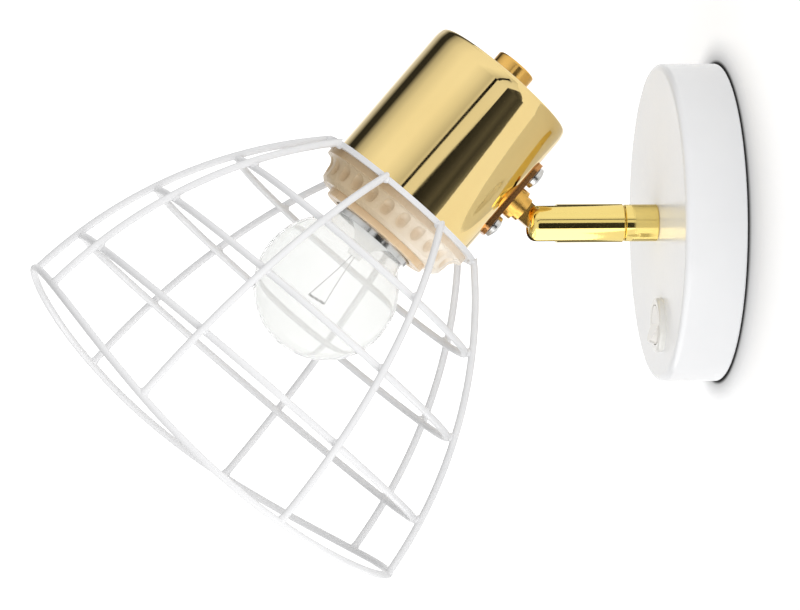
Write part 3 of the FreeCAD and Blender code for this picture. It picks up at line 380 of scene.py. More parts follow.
def pocket_shade_group(hang: "Hang") -> None:
    """Makes the group of painted shade in the pockets and under the flange of the shade ring.

    Its inputs are the number of pockets, the turn of the first in degrees and the levels. Its Mask is painted
    shade: 1 in the pockets and near 1 on the flange. Its Upper shade, a painted shade on the ring's upper
    side, falls from 1 at the top of the ring to 0 below.

    Args:
        hang: Where the head hangs.
    """
    inputs = {"Count": 24.0, "Turn": 5.0, "Pocket level": -0.030, "Flange level": -0.0264}
    pocket_rise = 3.2 * MM
    flange_edge = (-0.4 * MM, 0.2 * MM)
    flange_shade_share = 0.8
    upper_shade_span = (-13.0 * MM, 23.0 * MM)
    group, given, wanted = new_group(Effect.POCKETS, inputs, "Mask", "Upper side")
    mapping = group.nodes.new("ShaderNodeMapping")
    back = hang.matrix.inverted()
    mapping.inputs["Location"].default_value = back.translation
    mapping.inputs["Rotation"].default_value = back.to_euler()
    link(group, coordinates(group), mapping.inputs["Vector"])
    axes = split_axes(group, mapping.outputs["Vector"])
    angle = math_node(group, "ARCTAN2", axes["Y"], axes["X"])
    turn = math_node(group, "RADIANS", given["Turn"])
    share = math_node(group, "MULTIPLY", math_node(group, "SUBTRACT", angle, turn), 1 / math.tau)
    wave = math_node(group, "PINGPONG", math_node(group, "MULTIPLY", share, given["Count"]), 0.5)
    round_share = fade(group, wave, 0.0, 0.5)
    rise = math_node(group, "SUBTRACT", axes["Z"], given["Pocket level"])
    height_share = fade(group, math_node(group, "ABSOLUTE", rise), 0.0, pocket_rise)
    # Painted shade: darker in the pockets and under the flange.
    pocket_shade_share = math_node(group, "MULTIPLY", round_share, height_share)
    lift = math_node(group, "SUBTRACT", given["Flange level"], axes["Z"])
    flange = math_node(group, "MULTIPLY", fade(group, lift, *flange_edge), flange_shade_share)
    link(group, math_node(group, "MAXIMUM", pocket_shade_share, flange), wanted["Mask"])
    # Painted shade on the ring's upper side.
    link(group, fade(group, axes["Y"], *upper_shade_span), wanted["Upper side"])


# Finishes


@dataclass(frozen=True)
class Finish:
    """A finish whose colour and gloss drift a little over the surface.

    Attributes:
        name: The finish in plain words.
        slot: The record's finish that it stands for.
        colour: Its main colour, linear.
        shade: The colour that it drifts to.
        gloss: The lowest and highest roughness.
        metal: 1 for bare metal, 0 for paint, plastic or glass.
        grain: The effect that gives its fine relief.
        grain_scale: The scale of the relief.
        grain_depth: The depth of the relief in metres.
        drift_scale: The scale of the drift over the surface.
        coat: The weight of a clear coat.
    """

    name: str
    slot: Slot
    colour: Triple
    shade: Triple
    gloss: tuple[float, float]
    metal: float = 0.0
    grain: Effect = Effect.PEEL
    grain_scale: float = 900.0
    grain_depth: float = 0.00001
    drift_scale: float = 60.0
    coat: float = 0.0

    def shader(self, material: Material) -> Node:
        """Adds the shader and what drives it.

        Args:
            material: The material to fill.

        Returns:
            The shader's node.
        """
        tree = material.node_tree
        tree.nodes.clear()
        out = tree.nodes.new("ShaderNodeOutputMaterial")
        shader = tree.nodes.new("ShaderNodeBsdfPrincipled")
        link(tree, shader.outputs["BSDF"], out.inputs["Surface"])
        shader.inputs["Metallic"].default_value = self.metal
        shader.inputs["Coat Weight"].default_value = self.coat
        drift = effect_node(tree, Effect.MOTTLE, Scale=self.drift_scale).outputs["Mask"]
        mix = mix_colours(tree, drift, (*self.colour, 1), (*self.shade, 1))
        link(tree, mix.outputs["Result"], shader.inputs["Base Color"])
        link(tree, map_range(tree, drift, (0.0, 1.0), self.gloss), shader.inputs["Roughness"])
        grain = effect_node(tree, self.grain, Scale=self.grain_scale)
        bump = tree.nodes.new("ShaderNodeBump")
        bump.inputs["Distance"].default_value = self.grain_depth
        link(tree, grain.outputs["Height"], bump.inputs["Height"])
        link(tree, bump.outputs["Normal"], shader.inputs["Normal"])
        return shader

    def material(self) -> Material:
        """Makes the material, or gives the one already made.

        Returns:
            The material.
        """
        if self.name in bpy.data.materials:
            return bpy.data.materials[self.name]
        material = bpy.data.materials.new(self.name)
        material.use_nodes = True
        self.shader(material)
        return material


@dataclass(frozen=True)
class Glass(Finish):
    """Clear blown glass, with the faintest of waves.

    Attributes:
        refraction: The index of refraction.
        clearness: How much of the light passes, from 0 to 1.
    """

    refraction: float = 1.45
    clearness: float = 1.0

    def shader(self, material: Material) -> Node:
        """Adds the shader of clear glass.

        Args:
            material: The material to fill.

        Returns:
            The shader's node.
        """
        shader = super().shader(material)
        shader.inputs["Transmission Weight"].default_value = self.clearness
        shader.inputs["IOR"].default_value = self.refraction
        return shader


@dataclass(frozen=True)
class RingPlastic(Finish):
    """The shade ring's plastic, with painted shade in its pockets and under its flange, and a painted shade
    on its upper side.

    Attributes:
        upper_shade_tint: What the colour is multiplied by on the upper side, as a painted shade.
        drift_share: How much of the usual drift is left beside the pockets.
    """

    upper_shade_tint: Triple = (0.64, 0.55, 0.41)
    drift_share: float = 0.3

    def shader(self, material: Material) -> Node:
        """Adds the shader, its colour drift led by the painted shade of the ring's pockets, flange and upper
        side.

        Args:
            material: The material to fill.

        Returns:
            The shader's node.
        """
        shader = super().shader(material)
        tree = material.node_tree
        # Painted shade: darker in the pockets, under the flange and on the ring's upper side.
        pockets = effect_node(tree, Effect.POCKETS)
        mix = shader.inputs["Base Color"].links[0].from_node
        drift = mix.inputs["Factor"].links[0].from_socket
        faint = math_node(tree, "MULTIPLY", drift, self.drift_share)
        link(tree, math_node(tree, "ADD", pockets.outputs["Mask"], faint), mix.inputs["Factor"])
        upper_shade_tint = mix_colours(tree, pockets.outputs["Upper side"], mix.outputs["Result"], (*self.upper_shade_tint, 1),
                          "MULTIPLY")
        link(tree, upper_shade_tint.outputs["Result"], shader.inputs["Base Color"])
        return shader


BASE_COAT = Finish("gloss white coat of the base", Slot.WHITE_PAINT, (0.945, 0.95, 0.96),
                   (0.925, 0.93, 0.942), (0.2, 0.26), grain_scale=700.0, grain_depth=0.000012,
                   drift_scale=35.0)
CAGE_COAT = Finish("white coat of the cage", Slot.WHITE_PAINT, (0.76, 0.76, 0.766), (0.73, 0.73, 0.738),
                   (0.3, 0.4), grain_scale=1300.0, grain_depth=0.00002, drift_scale=70.0)
CUP_BRASS = Finish("polished brass of the cup", Slot.GOLD, (0.87, 0.67, 0.30), (0.855, 0.652, 0.285),
                   (0.045, 0.075), metal=1.0, grain=Effect.DRAWN, grain_scale=500.0, grain_depth=0.000004)
ARM_BRASS = Finish("polished brass of the arm", Slot.GOLD, (0.90, 0.71, 0.24), (0.88, 0.68, 0.225),
                   (0.05, 0.09), metal=1.0, grain=Effect.RINGS, grain_depth=0.000003)
JOINT_BRASS = Finish("polished brass of the joint", Slot.GOLD, (0.80, 0.48, 0.13), (0.75, 0.43, 0.10),
                     (0.16, 0.26), metal=1.0, grain_scale=1200.0, grain_depth=0.000006)
STRAP_BRASS = Finish("brushed brass of the strap", Slot.GOLD, (0.58, 0.29, 0.11), (0.52, 0.25, 0.09),
                     (0.15, 0.24), metal=1.0, grain=Effect.DRAWN, grain_scale=700.0, grain_depth=0.000008)
SCREW_STEEL = Finish("nickel plate of the screws", Slot.PLATED_STEEL, (0.7, 0.7, 0.69), (0.6, 0.6, 0.59),
                     (0.16, 0.28), metal=1.0, grain_scale=1500.0, drift_scale=300.0)
SHEET_STEEL = Finish("zinc plate of the sheet steel", Slot.PLATED_STEEL, (0.62, 0.63, 0.64),
                     (0.52, 0.53, 0.55), (0.3, 0.45), metal=1.0, grain_scale=500.0, drift_scale=200.0)
INSERT_BRASS = Finish("plain brass of the inserts", Slot.BRASS_INSERT, (0.72, 0.52, 0.24), (0.62, 0.44, 0.2),
                      (0.2, 0.32), metal=1.0, drift_scale=200.0)
ROCKER_PLASTIC = Finish("ivory white plastic of the rocker", Slot.WHITE_PLASTIC, (0.80, 0.775, 0.735),
                        (0.775, 0.75, 0.705), (0.12, 0.2), grain_scale=1500.0, grain_depth=0.000006, coat=0.2)
SWITCH_PLASTIC = Finish("grey white plastic of the switch", Slot.WHITE_PLASTIC, (0.86, 0.85, 0.81),
                        (0.83, 0.82, 0.78), (0.12, 0.2), grain_scale=1500.0, grain_depth=0.000006, coat=0.2)
HOLDER_PLASTIC = Finish("cream plastic of the lampholder", Slot.CREAM_PLASTIC, (0.80, 0.60, 0.38),
                        (0.76, 0.56, 0.34), (0.24, 0.34), grain_scale=1400.0, grain_depth=0.00002,
                        drift_scale=120.0)
# Its shade colour serves as the painted shade of the ring's pockets and flange, besides its faint drift.
RING_PLASTIC = RingPlastic("cream plastic of the shade ring", Slot.CREAM_PLASTIC, (0.94, 0.86, 0.74),
                           (0.78, 0.64, 0.48), (0.24, 0.34), grain_scale=1400.0, grain_depth=0.00002,
                           drift_scale=120.0)
END_GLASS = Finish("dark glass of the cap's end", Slot.BLACK_INSULATOR, (0.02, 0.018, 0.022),
                   (0.035, 0.03, 0.036), (0.06, 0.12), grain_scale=600.0, grain_depth=0.00002)
CAP_ALLOY = Finish("bright alloy of the bulb's cap", Slot.CAP_METAL, (0.6, 0.6, 0.59), (0.52, 0.52, 0.51),
                   (0.14, 0.22), metal=1.0, grain_scale=1500.0)
LEAD_WIRE = Finish("nickel wire in the bulb", Slot.FILAMENT_WIRE, (0.42, 0.41, 0.4), (0.34, 0.33, 0.32),
                   (0.25, 0.35), metal=1.0, grain_scale=2500.0)
COIL_WIRE = Finish("tungsten of the filament", Slot.FILAMENT_WIRE, (0.3, 0.29, 0.28), (0.22, 0.21, 0.2),
                   (0.3, 0.45), metal=1.0, grain_scale=2500.0)
BULB_GLASS = Glass("clear glass of the bulb", Slot.CLEAR_GLASS, (0.995, 0.997, 0.99), (0.985, 0.99, 0.98),
                   (0.0, 0.01), grain_scale=60.0, grain_depth=0.00004, refraction=1.12, clearness=0.78)
STEM_GLASS = Glass("milky glass of the stem", Slot.CLEAR_GLASS, (0.97, 0.975, 0.97), (0.95, 0.955, 0.95),
                   (0.2, 0.3), grain_scale=200.0, grain_depth=0.00002, refraction=1.2, clearness=0.0)


# What every sub-assembly shares


def add_object(name: str, mesh: Mesh) -> Thing:
    """Turns a finished bmesh into an object of the scene.

    Args:
        name: The object's name.
        mesh: Its mesh, already in place, which is used up.

    Returns:
        The new object.
    """
    data = bpy.data.meshes.new(name)
    mesh.to_mesh(data)
    mesh.free()
    new = bpy.data.objects.new(name, data)
    bpy.context.scene.collection.objects.link(new)
    return new


def make_piece(name: str, mesh: Mesh, finish: Finish, crease: float = 40.0) -> Thing:
    """Turns a finished bmesh into a piece that rides on the head.

    Args:
        name: The piece's name.
        mesh: Its mesh, already in place.
        finish: Its finish.
        crease: The angle in degrees above which an edge stays sharp.

    Returns:
        The new object.
    """
    bmesh.ops.remove_doubles(mesh, verts=mesh.verts, dist=MERGE_DISTANCE)
    bmesh.ops.recalc_face_normals(mesh, faces=mesh.faces)
    piece = add_object(name, mesh)
    piece.data.shade_smooth()
    piece.data.set_sharp_from_angle(angle=math.radians(crease))
    piece.data.materials.append(finish.material())
    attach(piece, HEAD)
    return piece


def sweep(mesh: Mesh, path: list[Vector], radius: float, sides: int) -> None:
    """Draws a round wire along a path, closed at both ends.

    Args:
        mesh: The bmesh that gets the wire.
        path: The points of the wire's middle line.
        radius: The wire's radius.
        sides: The corners of its section.
    """
    way = (path[1] - path[0]).normalized()
    turn = way.to_track_quat("Z", "Y").to_matrix().to_4x4()
    start = bmesh.ops.create_circle(mesh, cap_ends=True, segments=sides, radius=radius,
                                    matrix=Matrix.Translation(path[0]) @ turn)
    edges = list({edge for vert in start["verts"] for edge in vert.link_edges})
    for index in range(1, len(path)):
        before = way
        last = index == len(path) - 1
        way = (path[-1] - path[-2] if last else path[index + 1] - path[index - 1]).normalized()
        made = bmesh.ops.extrude_edge_only(mesh, edges=edges)["geom"]
        verts = [item for item in made if isinstance(item, bmesh.types.BMVert)]
        edges = [item for item in made if isinstance(item, bmesh.types.BMEdge)
                 and all(vert in verts for vert in item.verts)]
        swing = before.rotation_difference(way).to_matrix().to_4x4()
        bmesh.ops.transform(mesh, verts=verts, matrix=(Matrix.Translation(path[index]) @ swing
                                                       @ Matrix.Translation(-path[index - 1])))
    bmesh.ops.edgeloop_fill(mesh, edges=edges)


@dataclass
class Hang:
    """Where the head hangs: pieces drawn straight down are turned to the resting tilt about the pivot.

    Attributes:
        pivot_reach: From the wall to the pivot of the tilt.
        axis_offset: From the pivot to the cup's axis.
        tilt: The turn of the head about the pivot at rest.
        neck_top: The height of the neck plate's upper face, from the pivot.
        neck_thickness: The plate's thickness.
    """

    pivot_reach: float = 56.5 * MM
    axis_offset: float = 37.7 * MM
    tilt: float = math.radians(-41.2)
    neck_top: float = -22.3 * MM
    neck_thickness: float = 1.7 * MM

    @property
    def matrix(self) -> Matrix:
        """The turn and shift from the hanging head to its place on the arm."""
        return (Matrix.Translation((0, -self.pivot_reach, 0)) @ Matrix.Rotation(self.tilt, 4, "X")
                @ Matrix.Translation((0, -self.axis_offset, 0)))

    @property
    def neck_bottom(self) -> float:
        """The height of the neck plate's underside."""
        return self.neck_top - self.neck_thickness

    @property
    def neck_middle(self) -> float:
        """The height of the neck plate's middle."""
        return self.neck_top - self.neck_thickness / 2


# Sub-assemblies


@dataclass
class Assembly:
    """Pieces of the lamp that belong together.

    Attributes:
        nodes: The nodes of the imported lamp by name.
    """

    nodes: dict[str, Thing]

    def coat(self, finish: Finish, *names: str) -> None:
        """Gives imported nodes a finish.

        Args:
            finish: The finish that they get.
            names: The nodes to coat.
        """
        for name in names:
            node = self.nodes[name]
            if not node.material_slots:
                node.data.materials.append(finish.material())
            for slot in node.material_slots:
                slot.material = finish.material()

    def dress(self) -> None:
        """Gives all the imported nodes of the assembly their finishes."""

    def additions(self) -> list[Thing]:
        """Makes the fine pieces that solids carry badly, if there are any."""
        return []

    def build(self) -> list[Thing]:
        """Dresses the assembly and gives its new pieces."""
        self.dress()
        return self.additions()


@dataclass
class WallBase(Assembly):
    """The base on the wall, with its switch and what it hides."""

    def dress(self) -> None:
        """Gives the base's nodes their finishes."""
        self.coat(BASE_COAT, "base_shell")
        self.coat(SHEET_STEEL, "mounting_plate", "tail_nut", "tail_washer", "earth_washer")
        self.coat(SCREW_STEEL, "rim_screws", "block_screw", "earth_screw", "terminal_screws")
        self.coat(INSERT_BRASS, "terminal_sleeves", "switch_blades")
        self.coat(SWITCH_PLASTIC, "terminal_block", "switch_body")
        self.coat(ROCKER_PLASTIC, "switch_rocker")


@dataclass
class SwivelArm(Assembly):
    """The collar on the base and the barrel that swivels on it."""

    def dress(self) -> None:
        """Gives the arm's nodes their finishes."""
        self.coat(ARM_BRASS, "arm_collar", "arm_barrel")
        self.coat(JOINT_BRASS, "pivot_screw")
        self.coat(SCREW_STEEL, "swivel_spindle", "swivel_washer", "swivel_bush", "friction_washers")


@dataclass
class CupHead(Assembly):
    """The tilting head: knuckle, strap, cup and cap nut."""

    def dress(self) -> None:
        """Gives the head's nodes their finishes."""
        self.coat(CUP_BRASS, "cup")
        self.coat(JOINT_BRASS, "cap_nut", "knuckle")
        self.coat(STRAP_BRASS, "strap")
        self.coat(SCREW_STEEL, "strap_screws", "strap_nuts", "cup_nipple", "holder_nut")


@dataclass
class Lampholder(Assembly):
    """The lampholder in the cup and the shade ring on its front."""

    def dress(self) -> None:
        """Gives the lampholder's nodes their finishes."""
        self.coat(HOLDER_PLASTIC, "holder_dome", "holder_shell", "holder_core")
        self.coat(RING_PLASTIC, "shade_ring")
        self.coat(INSERT_BRASS, "screw_shell", "centre_contact")
        self.coat(SCREW_STEEL, "holder_terminals")


@dataclass
class GlobeBulb(Assembly):
    """The clear bulb, with a flared stem, fine leads and a coiled filament in place of their plain solids.

    Attributes:
        hang: Where the head hangs.
        turn: The turn of the bulb in the holder.
        globe_drop: From the neck plate's underside to the globe's centre.
        filament_drop: From the globe's centre to the filament's ends.
        filament_span: From one end of the filament to the other.
        stem_tip_drop: From the neck plate's underside to the stem's tip.
        stem_length: From the stem's tip to the end of its flare.
        stem_radius: The stem's radius at its tip.
        flare_radius: Its radius at the end of its flare.
        lead_pitch: Between the leads where they leave the stem.
        lead_root: How far they reach into the stem.
        lead_swell: How late they spread, as a power of the share of their length.
        lead_hook: How far their ends are bent in and down to the filament.
        lead_radius: Their radius.
        coil_radius: The radius of the filament's coil.
        coil_wire: The radius of its wire.
        coil_sag: How far the coil waves from side to side in all.
    """

    hang: Hang
    turn: float = math.radians(13.0)
    globe_drop: float = 35.1 * MM
    filament_drop: float = 4.6 * MM
    filament_span: float = 18.0 * MM
    stem_tip_drop: float = 21.0 * MM
    stem_length: float = 8.4 * MM
    stem_radius: float = 2.5 * MM
    flare_radius: float = 12.1 * MM
    tip_steps: int = 8
    flare_steps: int = 12
    stem_sides: int = 64
    lead_pitch: float = 2.4 * MM
    lead_root: float = 2.0 * MM
    lead_swell: float = 1.5
    lead_hook: tuple[float, float] = (0.5 * MM, 0.25 * MM)
    lead_radius: float = 0.14 * MM
    lead_steps: int = 12
    lead_sides: int = 8
    coil_radius: float = 0.26 * MM
    coil_wire: float = 0.07 * MM
    coil_turns: int = 52
    coil_steps: int = 8
    coil_sides: int = 5
    coil_sag: float = 2.2 * MM
    coil_waves: int = 3

    @property
    def filament_height(self) -> float:
        """The height of the filament's ends."""
        return self.hang.neck_bottom - self.globe_drop - self.filament_drop

    @property
    def place(self) -> Matrix:
        """The turn of the bulb in the holder, and then of the head."""
        return self.hang.matrix @ Matrix.Rotation(self.turn, 4, "Z")

    def dress(self) -> None:
        """Gives the bulb's nodes their finishes."""
        self.coat(BULB_GLASS, "bulb_glass")
        self.coat(STEM_GLASS, "bulb_stem")
        self.coat(CAP_ALLOY, "bulb_cap", "bulb_button")
        self.coat(END_GLASS, "bulb_insulator")
        self.coat(LEAD_WIRE, "bulb_leads")
        self.coat(COIL_WIRE, "bulb_filament")

    def stem(self) -> Thing:
        """Blows the stem, whose flare is fused to the neck just inside the edge of the cap.

        Returns:
            The stem as a piece.
        """
        tip = self.hang.neck_bottom - self.stem_tip_drop
        foot = tip + self.stem_length
        half = self.stem_radius
        flare = self.flare_radius - half
        outline = [(0.0, tip)]
        for step in range(1, self.tip_steps + 1):
            turn = math.radians(90 * step / self.tip_steps)
            outline.append((half * math.sin(turn), tip + half * (1 - math.cos(turn))))
        for step in range(self.flare_steps + 1):
            turn = math.radians(90 * step / self.flare_steps)
            outline.append((half + flare * (1 - math.cos(turn)), foot - flare * (1 - math.sin(turn))))
        outline.append((0.0, foot))
        mesh = bmesh.new()
        verts = [mesh.verts.new((reach, 0, height)) for reach, height in outline]
        edges = [mesh.edges.new(pair) for pair in zip(verts, verts[1:])]
        bmesh.ops.spin(mesh, geom=verts + edges, cent=(0, 0, 0), axis=(0, 0, 1), dvec=(0, 0, 0),
                       angle=math.tau, steps=self.stem_sides, use_merge=True, use_duplicate=False)
        bmesh.ops.transform(mesh, verts=mesh.verts, matrix=self.place)
        piece = make_piece("bulb_stem_flare", mesh, STEM_GLASS)
        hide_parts("bulb_stem")
        return piece

    def leads(self) -> Thing:
        """Bends the two stiff wires from the stem to the ends of the filament.

        Returns:
            Both wires as one piece.
        """
        mesh = bmesh.new()
        start = self.hang.neck_bottom - self.stem_tip_drop + self.lead_root
        end = self.filament_height
        for side in (1, -1):
            near = side * self.lead_pitch / 2
            far = side * self.filament_span / 2
            path = []
            for step in range(self.lead_steps + 1):
                share = step / self.lead_steps
                swell = share ** self.lead_swell
                path.append(Vector((near + (far - near) * swell, 0, start + (end - start) * share)))
            path.append(path[-1] + Vector((-side * self.lead_hook[0], 0, -self.lead_hook[1])))
            sweep(mesh, path, self.lead_radius, self.lead_sides)
        bmesh.ops.transform(mesh, verts=mesh.verts, matrix=self.place)
        piece = make_piece("bulb_lead_wires", mesh, LEAD_WIRE)
        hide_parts("bulb_leads")
        return piece

    def filament(self) -> Thing:
        """Winds the coil of the filament and hangs it in shallow waves.

        Returns:
            The filament as a piece.
        """
        mesh = bmesh.new()
        span = self.filament_span - 2 * self.lead_radius
        count = self.coil_turns * self.coil_steps
        path = []
        for step in range(count + 1):
            share = step / count
            wave = self.coil_sag / 2 * math.sin(math.tau * self.coil_waves * share)
            angle = math.tau * self.coil_turns * share
            path.append(Vector((span * (share - 0.5), wave + self.coil_radius * math.cos(angle),
                                self.filament_height + self.coil_radius * math.sin(angle))))
        sweep(mesh, path, self.coil_wire, self.coil_sides)
        bmesh.ops.transform(mesh, verts=mesh.verts, matrix=self.place)
        piece = make_piece("bulb_filament_coil", mesh, COIL_WIRE, crease=80.0)
        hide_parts("bulb_filament")
        return piece

    def additions(self) -> list[Thing]:
        """Makes the stem, the leads and the filament."""
        return [self.stem(), self.leads(), self.filament()]


@dataclass
class WireCage(Assembly):
    """The cage of bent wires, with the weld beads at its crossings.

    Attributes:
        hang: Where the head hangs.
        neck_radius: From the cage's axis to the wires' middle line at the neck.
        rim_radius: The same at the rim.
        depth: From the neck plate's middle to the rim's mean height.
        bend_radius: The radius of the wires' bend.
        wire_radius: The wires' radius.
        ring_depths: The depths of the level rings below the neck.
        wire_turns: The turns of the wires round the cage, in degrees.
        rim_wave: How far the rim waves up and down.
        rim_wave_turn: The turn of its first wave, in degrees.
        rim_bead_lift: How far above the rim's middle line its beads lie.
        neck_bead_inset: How far inside the wires' middle line the neck's beads lie.
        ring_bead: The half sizes of a bead on a ring: round the cage, along the wire and across it.
        rim_bead: The same on the rim.
        neck_bead: The same on the neck plate's edge.
    """

    hang: Hang
    neck_radius: float = 29.9 * MM
    rim_radius: float = 73.2 * MM
    depth: float = 96.4 * MM
    bend_radius: float = 148.0 * MM
    wire_radius: float = 1.15 * MM
    ring_depths: tuple[float, ...] = (22.2 * MM, 46.1 * MM, 72.6 * MM)
    wire_turns: tuple[float, ...] = (23.6, 68.3, 113.0, 165.9, 207.8, 253.2, 299.3, 350.0)
    rim_wave: float = 6.2 * MM
    rim_wave_turn: float = 7.2
    rim_bead_lift: float = 1.2 * MM
    neck_bead_inset: float = 0.6 * MM
    ring_bead: Triple = (1.5 * MM, 1.5 * MM, 1.0 * MM)
    rim_bead: Triple = (1.5 * MM, 1.65 * MM, 1.2 * MM)
    neck_bead: Triple = (1.95 * MM, 1.0 * MM, 1.5 * MM)
    bead_sides: int = 20
    bead_rows: int = 12

    @property
    def bend_centre(self) -> tuple[float, float]:
        """Finds the centre of the wires' bend.

        Returns:
            Its radius from the cage's axis and its depth below the neck.
        """
        run = self.rim_radius - self.neck_radius
        length = math.hypot(run, self.depth)
        reach = math.sqrt(self.bend_radius ** 2 - (length / 2) ** 2)
        middle = (self.neck_radius + run / 2, self.depth / 2)
        return middle[0] - self.depth / length * reach, middle[1] + run / length * reach

    def radius_at(self, depth: float) -> float:
        """The radius of the wires' middle line at a depth below the neck."""
        centre = self.bend_centre
        return centre[0] + math.sqrt(self.bend_radius ** 2 - (depth - centre[1]) ** 2)

    def rim_depth(self, turn: float) -> float:
        """The depth of the wavy rim at a turn in degrees."""
        return self.depth - self.rim_wave * math.cos(math.radians(2 * (turn - self.rim_wave_turn)))

    def beads(self, name: str, crossings: list[tuple[float, float]], inset: float, size: Triple) -> Thing:
        """Adds the flattened beads of weld of one kind.

        Args:
            name: The name of the piece that they make up.
            crossings: The turn of the wire and the depth on its middle line of each crossing.
            inset: How far inside that line the beads lie.
            size: Their half sizes round the cage, along the wire and across it.

        Returns:
            The beads as one piece.
        """
        mesh = bmesh.new()
        centre = self.bend_centre
        share = (self.bend_radius - inset) / self.bend_radius
        stretch = Matrix.Diagonal((size[0], size[2], size[1], 1))
        for turn, depth in crossings:
            out = self.radius_at(depth) - centre[0]
            down = depth - centre[1]
            height = self.hang.neck_middle - (centre[1] + down * share)
            place = Matrix.Translation((0, -(centre[0] + out * share), height))
            spin = Matrix.Rotation(math.radians(turn), 4, "Z")
            lean = Matrix.Rotation(math.atan2(down, out), 4, "X")
            bmesh.ops.create_uvsphere(mesh, u_segments=self.bead_sides, v_segments=self.bead_rows, radius=1.0,
                                      matrix=self.hang.matrix @ spin @ place @ lean @ stretch)
        return make_piece(name, mesh, CAGE_COAT)

    def dress(self) -> None:
        """Gives the cage's nodes their finish."""
        wires = [f"cage_wire_{number}" for number in range(1, len(self.wire_turns) + 1)]
        self.coat(CAGE_COAT, "neck_plate", "cage_rim", "cage_ring_upper", "cage_ring_middle",
                  "cage_ring_lower", *wires)

    def additions(self) -> list[Thing]:
        """Makes the beads on the rings, on the rim and on the neck plate's edge.

        Returns:
            The three pieces.
        """
        on_rings = [(turn, depth) for depth in self.ring_depths for turn in self.wire_turns]
        on_rim = [(turn, self.rim_depth(turn) - self.rim_bead_lift) for turn in self.wire_turns]
        on_neck = [(turn, 0.0) for turn in self.wire_turns]
        return [self.beads("cage_ring_welds", on_rings, self.wire_radius, self.ring_bead),
                self.beads("cage_rim_welds", on_rim, 0.0, self.rim_bead),
                self.beads("cage_neck_welds", on_neck, self.neck_bead_inset, self.neck_bead)]


# Studio


@dataclass(frozen=True)
class Card:
    """A card of the studio that only the mirrors see.

    Attributes:
        name: The card's name.
        corners: Its four corners in order.
        stops: Pairs of a place across the board and the light that the card gives off there.
        rounding: How much is cut off each corner, in a round.
    """

    name: str
    corners: tuple[Triple, ...]
    stops: Stops
    rounding: float = 0.0


CARDS = (
    Card("wide black card",
         ((0.624, -0.12, -0.36), (0.58, 0.5, -0.36), (0.75, 0.5, 0.09), (0.971, -0.12, 0.09)),
         ((-0.12, 0.03), (0.0, 0.0), (0.12, 0.04), (0.2, 0.09), (0.26, 0.05), (0.34, 0.1), (0.4, 0.25),
          (0.47, 0.8)), 0.16),
    Card("narrow black card",
         ((0.95, -0.5, 0.143), (0.95, 0.3, 0.418), (0.95, 0.3, 0.488), (0.95, -0.5, 0.213)),
         ((-0.5, 0.0), (0.3, 0.0))),
    Card("low light panel",
         ((0.35, -0.3, -0.22), (0.35, 0.12, -0.22), (-0.12, 0.12, -0.22), (-0.12, -0.3, -0.22)),
         ((-0.3, 2.3), (0.12, 2.3))),
)


